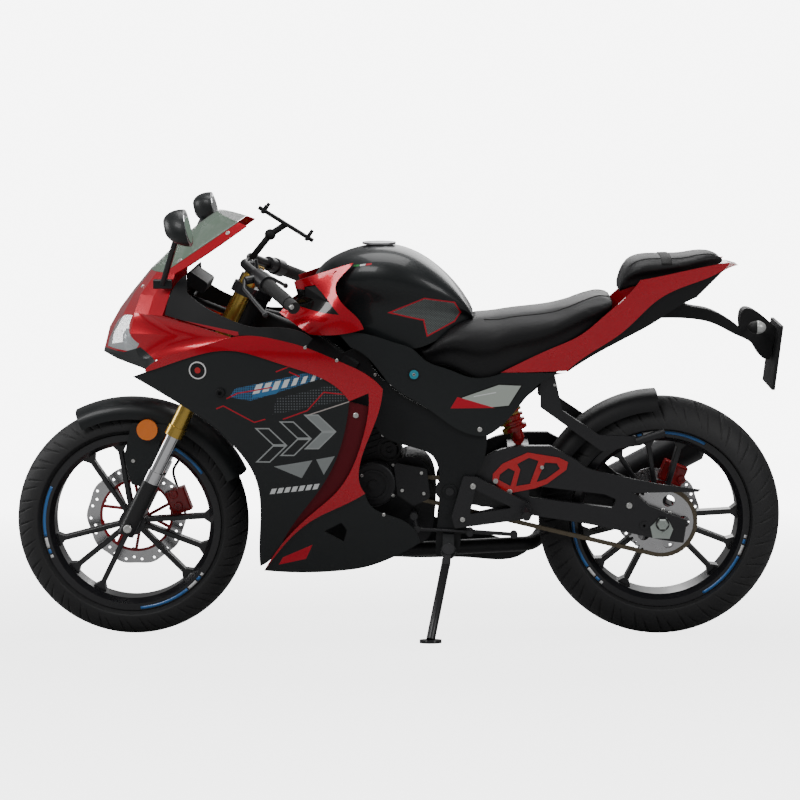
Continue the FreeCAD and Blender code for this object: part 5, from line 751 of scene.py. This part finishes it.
def found_on(x, z, sides=(-1, 1), node=None, body="chassis"):
    """Surfaces met at x and z of the side view from each side, on one node or on all of a body."""
    hits = [on_side(node, x, z, side) if node else on_any(x, z, side, body) for side in sides]
    return [hit for hit in hits if hit]


def distance_across(place):
    """Distance across the upright machine of a place in the leaned frame."""
    return float(np.dot(place - leaned([0.0, 0.0, 0.0]), leaned([0.0, 1.0, 0.0]) - leaned([0.0, 0.0, 0.0])))


def from_above(target, x, y):
    """Height of a surface at x and y of the upright frame, as a place in the leaned frame."""
    start, aim = leaned([x, y, 1.3]), leaned([x, y, 0.0])
    hit, place, normal, _ = target.ray_cast(Vector(start), Vector(aim - start).normalized())
    return (np.array(place), np.array(normal)) if hit else None


def button(pieces, place, normal, radius, height, socket=0.45):
    """Round screw head with a bevelled rim and a hollow in its middle, as a turned profile."""
    r, h = radius, height
    profile = [(-SUNK, r * 0.9), (0, r), (h * 0.6, r), (h, r * 0.82), (h, r * socket),
               (h * 0.35, r * socket * 0.9)]
    pieces.add(*turned_profile(profile, place, normal, 20))


def screws(pieces, spots, height, sides=(-1, 1), socket=0.45, node=None, body="chassis"):
    """Screw heads at (x, z, radius) of the side view, wherever a surface is met."""
    for x, z, radius in spots:
        for hit in found_on(x, z, sides, node, body):
            button(pieces, *hit, radius, height, socket)


def ring(pieces, place, normal, inner, outer, height):
    """Flat ring on a surface: a rectangle turned about the normal."""
    prof = np.array([(-SUNK, inner), (-SUNK, outer), (height, outer), (height, inner)])
    axis, a, b = frame_of(normal)
    body = place + prof[:, 0, None, None] * axis + prof[:, 1, None, None] * circle(a, b, 40)[None]
    pieces.add(body, grid_faces(4, 40, close_rows=True, close_cols=True).tolist())


def disc(pieces, place, normal, radius, height):
    """Flat round plate on a surface."""
    pieces.add(*turned_profile([(-SUNK, radius), (height, radius)], place, normal, 40))


def finish_pieces(pieces, name, mat, body, smooth=False):
    """Makes one object of the gathered solids, dresses it and lets it ride on a body."""
    if not pieces.count:
        return None
    obj = pieces.object(name, smooth)
    dress(obj, MATS[mat])
    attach(obj, body)
    return obj


def panel_bolts():
    """Small bright screws along the edges of the fairing, and the ring, bolt and caps on it."""
    small, rings, cyan, dark, red = Pieces(), Pieces(), Pieces(), Pieces(), Pieces()
    screws(small, (
        (-0.1428, 0.7327, 0.0042), (-0.0535, 0.6835, 0.0042), (-0.0140, 0.6596, 0.0036),
        (-0.2190, 0.7650, 0.0042), (-0.0980, 0.5955, 0.0070), (0.2048, 0.5480, 0.0062),
        (-0.6298, 0.8980, 0.0045), (-0.5309, 0.9656, 0.0055), (-0.4130, 1.0324, 0.0055),
        (-0.3190, 0.9390, 0.0040), (0.3900, 0.6560, 0.0036)), 0.0026)
    for hit in found_on(-0.4815, 0.7070):
        disc(dark, *hit, 0.0195, 0.0010)
        ring(rings, *hit, 0.0188, 0.0218, 0.0018)
        disc(red, *hit, 0.0075, 0.0014)
    screws(dark, ((-0.4260, 0.6530, 0.0115),), 0.0080)
    for hit in found_on(0.0422, 0.6863):
        disc(dark, *hit, 0.0150, 0.0020)
        ring(cyan, *hit, 0.0040, 0.0112, 0.0040)
        button(small, *hit, 0.0042, 0.0048)
    finish_pieces(small, "panel_screws", "bolt", "chassis")
    finish_pieces(rings, "panel_rings", "white", "chassis")
    finish_pieces(cyan, "panel_bolt_rings", "cyan", "chassis")
    finish_pieces(dark, "panel_bolt_bases", "matte", "chassis")
    finish_pieces(red, "panel_discs", "red_metal", "chassis")


def cover_bolts():
    """Screws and steps of the engine covers, and screws of the frame and the swing arm."""
    chassis, steps = Pieces(), Pieces()
    covers = ((-0.0117, 0.4488), (0.0328, 0.4847), (-0.0368, 0.5229), (-0.0325, 0.3411), (-0.0117, 0.3793),
              (0.0600, 0.4360), (0.0660, 0.3840), (-0.0880, 0.4300), (0.0120, 0.3920))
    screws(chassis, [(x, z, 0.0045) for x, z in covers], 0.0045, (-1,))
    for hit in found_on(-0.0213, 0.4875, (-1,)):
        ring(steps, *hit, 0.0245, 0.0300, 0.0045)
        ring(steps, *hit, 0.0090, 0.0190, 0.0060)
    for hit in found_on(-0.0600, 0.4060, (-1,)):
        ring(steps, *hit, 0.0330, 0.0380, 0.0040)
        disc(steps, *hit, 0.0120, 0.0050)
    screws(chassis, (
        (0.1882, 0.4064, 0.0075), (0.1623, 0.3230, 0.0065), (0.2444, 0.4154, 0.0070),
        (0.2798, 0.3886, 0.0070), (0.5780, 0.3526, 0.0080), (0.1277, 0.2565, 0.0080),
        (0.3600, 0.4500, 0.0050)), 0.0050)
    finish_pieces(chassis, "frame_screws", "bolt", "chassis")
    finish_pieces(steps, "cover_steps", "engine", "chassis")


def caliper_bosses():
    """Round caps over the pots of both calipers."""
    for node, body, spots in (("front_caliper", "steering", ((-0.576, 0.352), (-0.564, 0.322))),
                              ("rear_caliper", "chassis", ((0.700, 0.412), (0.722, 0.388)))):
        bosses = Pieces()
        screws(bosses, [(x, z, 0.0115) for x, z in spots], 0.0050, socket=0.5, node=node)
        finish_pieces(bosses, node + "_bosses", "red_metal", body)


def wheel_and_fork_bolts():
    """Screws of the discs, the rear sprocket and the fork."""
    for body, node, x, z, ring_radius, side in (
        ("front_wheel", "front_disc", FRONT_X, FRONT_Z, 0.0890, 1),
        ("rear_wheel", "rear_disc", REAR_X, REAR_Z, 0.0715, 1),
        ("rear_wheel", "rear_sprocket", REAR_X, REAR_Z, 0.030, -1),
    ):
        wheel = Pieces()
        angles = TAU * np.arange(10) / 10 + 0.2
        spots = [(x + ring_radius * math.cos(t), z + ring_radius * math.sin(t), 0.0050) for t in angles]
        screws(wheel, spots, 0.0016, (side,), node=node)
        finish_pieces(wheel, node + "_screws", "bolt", body)
    fork = Pieces()
    spots = ((FRONT_X, FRONT_Z, 0.0105), (-0.6632, 0.4568, 0.0050), (-0.2440, 0.8750, 0.0060))
    screws(fork, spots, 0.0040, socket=0.55, body="steering")
    finish_pieces(fork, "fork_screws", "bolt", "steering")


def chain_links():
    """Roller chain: plates with two round ends and a waist, inner and outer in turn, and rollers.

    Pins lie a pitch apart along the loop, by its length from the start.
    """
    path = chain_loop()
    length = np.concatenate([[0], np.cumsum(np.linalg.norm(np.diff(path, axis=0), axis=1))])
    count = 2 * int(round(length[-1] / CHAIN_PITCH / 2))
    steps = np.arange(count) * length[-1] / count
    pins = np.stack([np.interp(steps, length, path[:, k]) for k in (0, 1)], -1)
    pieces = Pieces()
    a = np.linspace(-math.pi * 0.62, math.pi * 0.62, 9)
    plate_radius, half_width = 0.0054, 0.0055
    for k in range(count):
        p, q = pins[k], pins[(k + 1) % count]
        along = (q - p) / np.linalg.norm(q - p)
        across = np.array([-along[1], along[0]])
        turn = plate_radius * (np.cos(a)[:, None] * along + np.sin(a)[:, None] * across)
        rim = np.concatenate([q + turn, p - turn])
        inner, outer = (0.00315, 0.00415) if k % 2 else (0.00425, 0.0053)
        for side in (-1, 1):
            pieces.add(*prism(rim, *sorted((CHAIN_Y + side * inner, CHAIN_Y + side * outer))))
        place = leaned([p[0], CHAIN_Y - half_width, p[1]])
        far_end = leaned([p[0], CHAIN_Y + half_width, p[1]])
        reach = float(np.linalg.norm(far_end - place))
        profile = [(0.0, 0.0017), (0.0024, 0.0017), (0.0024, 0.0039), (reach - 0.0024, 0.0039),
                   (reach - 0.0024, 0.0017), (reach, 0.0017)]
        pieces.add(*turned_profile(profile, place, far_end - place, 8))
    links = finish_pieces(pieces, "chain_links", "chain", "chassis")
    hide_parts("chain")


def chain_loop():
    """Path of the chain's pins in the side view, closed: two tangents and two arcs of the pitch circles."""
    fx, fz, fr = FRONT_X + WHEELBASE * 0.5515, 0.392, 0.0285
    rx, rz, rr = REAR_X, REAR_Z, CHAIN_PITCH / 2 / math.sin(math.pi / SPROCKET_TEETH)
    base = math.atan2(rz - fz, rx - fx)
    open_angle = math.acos((rr - fr) / math.hypot(rx - fx, rz - fz))
    top, low = base + math.pi - open_angle, base - math.pi + open_angle

    def at(x, z, r, angle):
        """Points on a pitch circle at given angles."""
        return np.stack([x + r * np.cos(angle), z + r * np.sin(angle)], -1)

    t = np.linspace(0, 1, 200)[:, None]
    runs = [
        at(fx, fz, fr, top) * (1 - t) + at(rx, rz, rr, top) * t,
        at(rx, rz, rr, np.linspace(top, low, 200)),
        at(rx, rz, rr, low) * (1 - t) + at(fx, fz, fr, low) * t,
        at(fx, fz, fr, np.linspace(low + TAU, top, 200)),
    ]
    return np.concatenate([r[:-1] for r in runs] + [runs[0][:1]])


def chain_adjusters():
    """Plates and nuts at the rear axle, where the chain's pull is set."""
    pieces = Pieces()
    outline_mm = [(-30, -8), (-24, -36), (18, -38), (27, -14), (18, 4), (10, 15), (-10, 15), (-18, 4)]
    rim = np.array(outline_mm, float) / 1000 + np.array([REAR_X, REAR_Z])
    inner, outer = 0.1226, 0.1262
    for side in (-1, 1):
        pieces.add(*prism(rim, *sorted((side * inner, side * outer))))
        for x, z, radius, high, sides in ((REAR_X, REAR_Z, 0.0150, 0.0110, 6),
                                          (REAR_X + 0.004, REAR_Z - 0.024, 0.0055, 0.0040, 20)):
            start = leaned([x, side * outer, z])
            axis = leaned([x, side * (outer + 1.0), z]) - start
            profile = [(-SUNK, radius), (high * 0.8, radius), (high, radius * 0.85), (high, radius * 0.5),
                       (high * 0.7, radius * 0.45)]
            pieces.add(*turned_profile(profile, start, axis, sides))
    finish_pieces(pieces, "chain_adjusters", "zinc", "chassis")


def cooling_fins():
    """Fins round the cylinder: flat slabs square to its axis, spaced up the barrel."""
    foot, head = np.array([-0.0399, 0.0, 0.420]), np.array([-0.1066, 0.0, 0.610])
    up = (head - foot) / np.linalg.norm(head - foot)
    half_long, half_wide, half_thick = np.array([-up[2], 0.0, up[0]]) * 0.068, [0.0, 0.079, 0.0], up * 0.0016
    pieces = Pieces()
    cube = np.array([[a, b, c] for c in (-1, 1) for a, b in ((-1, -1), (1, -1), (1, 1), (-1, 1))], float)
    for k in range(9):
        middle = foot + (head - foot) * (0.30 + 0.07 * k)
        pieces.add(leaned(middle + cube @ np.array([half_long, half_wide, half_thick])), BOX_FACES)
    finish_pieces(pieces, "cylinder_fins", "engine", "chassis")


def mirror_glasses():
    """Mirror glass on the rear face of each housing: a thin oval plate that follows the face's slope."""
    pieces = Pieces()
    t = np.arange(48) * TAU / 48
    tall, wide, slope, thick = 0.036, 0.054, -0.22, np.array([0.0012, 0.0, 0.0])
    oval = np.stack([slope * tall * np.sin(t), wide * np.cos(t), tall * np.sin(t)], -1)
    for side in (-1, 1):
        centre = np.array([-0.4885, side * 0.340, 1.062])
        points, faces = capped(np.stack([centre + oval, centre + oval + thick]), centre, centre + thick)
        pieces.add(leaned(points), faces)
    finish_pieces(pieces, "mirror_glasses", "mirror", "chassis")


def lamp_inside():
    """Projector lenses, which are part of a sphere, and bowls behind the headlamp glass."""
    lens, bowl = Pieces(), Pieces()
    for side in (-1, 1):
        for x, y, z, r in ((-0.672, 0.075, 0.765, 0.024), (-0.640, 0.112, 0.782, 0.020)):
            place = leaned([x, side * y, z])
            axis = leaned([x - 0.1, side * (y + 0.02), z]) - place
            dome = [(r * 0.45 * math.sin(a), r * math.cos(a)) for a in np.linspace(0, 1.45, 8)]
            lens.add(*turned_profile([(-0.006, r * 0.98)] + dome, place, axis, 28))
            cone = [(-0.030, r * 0.5), (-0.012, r * 1.05), (0.002, r * 1.12), (0.002, r), (-0.005, r * 0.98)]
            bowl.add(*turned_profile(cone, place, axis, 28))
    finish_pieces(lens, "lamp_lenses", "mirror", "chassis", True)
    finish_pieces(bowl, "lamp_bowls", "alu", "chassis", True)


def indicator_lenses():
    """Silver shells over the rear indicators: half ellipsoids, a touch larger than the housings."""
    pieces = Pieces()
    cx, cz, reach = FRONT_X + WHEELBASE * 1.172, 0.797, 0.100
    long, radius = 0.0235, 0.0166
    u, t = np.meshgrid(np.linspace(0.05, math.pi / 2, 9), np.arange(32) * TAU / 32, indexing="ij")
    for side in (-1, 1):
        y = side * reach + radius * np.sin(u) * np.cos(t)
        shell = np.stack([cx + long * np.cos(u), y, cz + radius * np.sin(u) * np.sin(t)], -1)
        points, faces = capped(shell, [cx + long, side * reach, cz], [cx - 0.001, side * reach, cz])
        pieces.add(leaned(points), faces)
    finish_pieces(pieces, "indicator_lenses", "silver", "chassis", True)


def inlet_shade_plates():
    """Dark plates behind the windows of the tank shrouds, standing in for the shade inside the machine: thin
    slabs through four places near the window.
    """
    pieces = Pieces()
    corners = ((-0.236, 0.9035), (-0.196, 0.9090), (-0.157, 0.8580), (-0.236, 0.8690))
    for side in (-1, 1):
        found = [on_side("tank_shrouds", x, z, side) for x, z in corners]
        if all(found):
            inward = leaned([0.0, 0.0, 0.0]) - leaned([0.0, side * 1.0, 0.0])
            near = np.array([place for place, _ in found]) + inward * 0.0036
            # On the left the quads are cut along their other diagonals
            faces = BOX_FACES if side > 0 else [f[1:] + f[:1] for f in BOX_FACES]
            # Dark plate as painted shade: it stands for the shaded inside of the machine seen through the
            # window
            pieces.add(np.concatenate([near, near + inward * 0.0015]), faces)
    finish_pieces(pieces, "inlet_shade_plates", "matte", "chassis")


def seat_strap(target, middle, wide, half):
    """Strap across a seat: a band that follows the cushion a little proud of it, from side to side."""
    y = np.linspace(-half, half, 61)
    bevel, sunk = 0.002, 0.0015
    stations = (middle - wide / 2, middle - wide / 2 + bevel, middle + wide / 2 - bevel, middle + wide / 2)
    rows = [[from_above(target, x, v) for v in y] for x in stations]
    keep = [k for k in range(len(y)) if all(row[k] for row in rows)]
    place = np.array([[row[k][0] for k in keep] for row in rows])
    normal = np.array([[row[k][1] for k in keep] for row in rows])
    proud = np.array([0.0010, 0.0024, 0.0024, 0.0010])[:, None, None]
    points = np.concatenate([place + normal * proud, (place - normal * sunk)[::-1]])
    n = len(keep)
    faces = grid_faces(8, n, close_rows=True).tolist()
    faces += [[r * n for r in range(8)], [r * n + n - 1 for r in range(8)][::-1]]
    pieces = Pieces()
    pieces.add(points, faces)
    finish_pieces(pieces, "seat_pillion_strap", "rubber", "chassis", True)


def level_stand():
    """The stand with its sole flat on the floor.

    The sole is a disc whose face stands twice the lean off the floor. Its points turn back by that angle
    about the line through its middle along the machine.
    """
    mesh = frame["nodes"]["side_stand"].data.copy()
    shape = bmesh.new()
    shape.from_mesh(mesh)
    bmesh.ops.remove_doubles(shape, verts=shape.verts, dist=1e-5)
    shape.to_mesh(mesh)
    shape.free()
    obj = bpy.data.objects.new("side_stand_leg", mesh)
    bpy.context.collection.objects.link(obj)
    points = coordinates(mesh)
    sole_x, sole_y, sole_radius, sole_thick, reach = 0.0843, -0.300, 0.027, 0.008, 0.0008
    middle = leaned([sole_x, sole_y, -sole_y * math.tan(LEAN)])
    c, k = math.cos(2 * LEAN), math.sin(2 * LEAN)
    axis = np.array([0.0, -k, c])
    off = points - middle
    along = off @ axis
    away = np.linalg.norm(off - along[:, None] * axis, axis=1)
    sole = (along > -reach) & (along < sole_thick + reach) & (away < sole_radius + reach)
    turned = np.stack([off[:, 0], off[:, 1] * c + off[:, 2] * k, off[:, 2] * c - off[:, 1] * k], -1)
    mesh.vertices.foreach_set("co", np.where(sole[:, None], middle + turned, points).reshape(-1))
    mesh.update()
    dress(obj, MATS["black_metal"])
    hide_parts("side_stand")
    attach(obj, "side_stand")


# Seats
def cushion(node, name):
    """Seat as a soft cushion: a copy of the solid, remeshed, blown up a little by cloth and smoothed.

    The swelling is at most CUSHION_LIFT. It is kept on the upper side and fades out towards the foot, so the
    seat still rests in its place.
    """
    source = frame["nodes"][node]
    obj = source.copy()
    obj.data = source.data.copy()
    obj.name = name
    bpy.context.collection.objects.link(obj)
    for o in bpy.context.selected_objects:
        o.select_set(False)
    obj.select_set(True)
    bpy.context.view_layer.objects.active = obj
    remesh = obj.modifiers.new("remesh", "REMESH")
    remesh.mode = "VOXEL"
    remesh.voxel_size = 0.006
    bpy.ops.object.modifier_apply(modifier="remesh")
    rest = coordinates(obj.data)
    step = blown_up(obj) - rest
    size = np.linalg.norm(step, axis=1)
    size = np.where(size > 1e-9, size, 1.0)
    step *= np.minimum(1.0, CUSHION_LIFT / size)[:, None]
    low, high = rest[:, 2].min(), rest[:, 2].max()
    share = np.clip((rest[:, 2] - low) / (high - low) * 2.2 - 0.8, 0, 1)
    new = rest + step * (share * share * (3 - 2 * share))[:, None]
    obj.data.vertices.foreach_set("co", new.reshape(-1))
    obj.data.update()
    smooth = obj.modifiers.new("smooth", "SMOOTH")
    smooth.iterations = 4
    smooth.factor = 0.5
    bpy.ops.object.modifier_apply(modifier="smooth")
    sub = obj.modifiers.new("sub", "SUBSURF")
    sub.levels = sub.render_levels = 1
    bpy.ops.object.modifier_apply(modifier="sub")
    smooth_shaded(obj.data)
    dress(obj, MATS["vinyl"])
    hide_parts(node)
    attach(obj, "chassis")
    return obj


def blown_up(obj):
    """Points of an object after twenty frames as cloth with air pressure inside and no gravity."""
    cloth = obj.modifiers.new("cloth", "CLOTH")
    cloth.settings.quality = 4
    cloth.settings.mass = 0.2
    cloth.settings.tension_stiffness = 12
    cloth.settings.compression_stiffness = 12
    cloth.settings.use_pressure = True
    cloth.settings.uniform_pressure_force = 4.0
    cloth.settings.effector_weights.gravity = 0.0
    cloth.collision_settings.use_collision = False
    scene = bpy.context.scene
    for f in range(1, 21):
        scene.frame_set(f)
    moved = coordinates(obj.evaluated_get(bpy.context.evaluated_depsgraph_get()).data)
    obj.modifiers.remove(cloth)
    scene.frame_set(1)
    return moved


def seam(target, name, points):
    """Fine raised seam laid on both halves of a cushion along (x, y) points of the upright frame."""
    pieces = Pieces()
    for side in (-1, 1):
        hits = filter(None, [from_above(target, x, side * y) for x, y in points])
        path = [place + normal * 0.0004 for place, normal in hits]
        if len(path) > 3:
            pieces.add(*tube_along(np.array(path), 0.0013, 6))
    finish_pieces(pieces, name, "rubber", "chassis", True)


def seats():
    """Both cushions with their seams, and the strap across the passenger's."""
    rider = cushion("seat_rider", "seat_rider_cushion")
    x = np.linspace(0.215, 0.525, 60)
    y = 0.100 - 0.35 * np.clip(x - 0.43, 0, 1) - 0.25 * np.clip(0.26 - x, 0, 1)
    seam(rider, "seat_rider_seam", np.stack([x, y], -1))
    pillion = cushion("seat_pillion", "seat_pillion_cushion")
    x = np.linspace(0.575, 0.790, 50)
    seam(pillion, "seat_pillion_seam", np.stack([x, 0.078 - 0.22 * np.clip(x - 0.72, 0, 1)], -1))
    seat_strap(pillion, 0.666, 0.026, 0.13)


rim_stripes("front_rim_stripes", "front_wheel", FRONT_X, FRONT_Z, FRONT_RIM_HALF, 35)
rim_stripes("rear_rim_stripes", "rear_wheel", REAR_X, REAR_Z, REAR_RIM_HALF, 60)
panel_bolts()
caliper_bosses()
cover_bolts()
wheel_and_fork_bolts()
chain_links()
chain_adjusters()
cooling_fins()
mirror_glasses()
lamp_inside()
indicator_lenses()
inlet_shade_plates()
level_stand()
seats()


# Stage
def camera_ray(nt):
    """1 for what the camera sees directly, 0 for what lights the machine."""
    return nt.nodes.new("ShaderNodeLightPath").outputs["Is Camera Ray"]


def build_stage():
    """Pale floor and white studio that the camera sees brighter than they light, with five soft lamps; the
    floor's glow is painted darker near the machine, a painted shade that fades out with distance.
    """
    bpy.ops.mesh.primitive_plane_add(size=60)
    floor = bpy.context.object
    floor.name = "floor"
    m = bpy.data.materials.new("floor_white")
    m.use_nodes = True
    nt = m.node_tree
    far = add_node(nt, "VectorMath", {0: object_place(nt)}, "LENGTH")
    # Painted shade on the floor: its glow for the camera is weaker near the machine and grows with distance
    # from it
    floor_shade_near_machine = add_node(nt, "MapRange", {
        "Value": far.outputs["Value"], "From Min": 1.0, "From Max": 9.0, "To Min": 3.4, "To Max": 7.0})
    fill(nt, nt.nodes["Principled BSDF"], {
        "Base Color": (0.34, 0.34, 0.34, 1), "Roughness": 0.8, "Specular IOR Level": 0.1,
        "Emission Color": (1, 1, 1, 1),
        "Emission Strength": math_node(nt, "MULTIPLY", camera_ray(nt), floor_shade_near_machine.outputs["Result"])})
    dress(floor, m)
    world = bpy.data.worlds.new("studio")
    world.use_nodes = True
    nt = world.node_tree
    seen = math_node(nt, "MULTIPLY", camera_ray(nt), 7.0)
    fill(nt, nt.nodes["Background"], {"Color": (1, 1, 1, 1), "Strength": math_node(nt, "ADD", seen, 0.20)})
    bpy.context.scene.world = world
    for name, place, aim, size, power in (
        ("key", (-2.6, -3.4, 3.6), (0, 0, 0.5), 2.0, 105),
        ("fill", (3.2, -2.6, 2.2), (0.3, 0, 0.5), 1.6, 45),
        ("top", (0.0, 0.2, 4.0), (0, 0, 0.5), 2.6, 95),
        ("front", (-3.6, 0.4, 1.6), (-0.5, 0, 0.7), 1.4, 36),
        ("rim", (0.8, 3.4, 2.6), (0, 0, 0.6), 2.2, 50),
    ):
        light = bpy.data.lights.new(name, "AREA")
        light.size = size
        light.energy = power
        lamp = bpy.data.objects.new(name, light)
        lamp.location = place
        lamp.rotation_euler = (Vector(aim) - Vector(place)).to_track_quat("-Z", "Y").to_euler()
        bpy.context.collection.objects.link(lamp)


def build_camera():
    """Camera square to the left side, level, at the distance and height read from the photograph."""
    data = bpy.data.cameras.new("camera")
    data.sensor_width = 36.0
    data.lens = 114.2
    data.shift_x = -0.075
    data.shift_y = 0.019
    data.dof.use_dof = False
    cam = bpy.data.objects.new("camera", data)
    cam.location = (0.156, STEP_Y - 6.5, 0.556)
    cam.rotation_euler = (math.radians(90), 0, 0)
    bpy.context.collection.objects.link(cam)
    bpy.context.scene.camera = cam


build_stage()
build_camera()
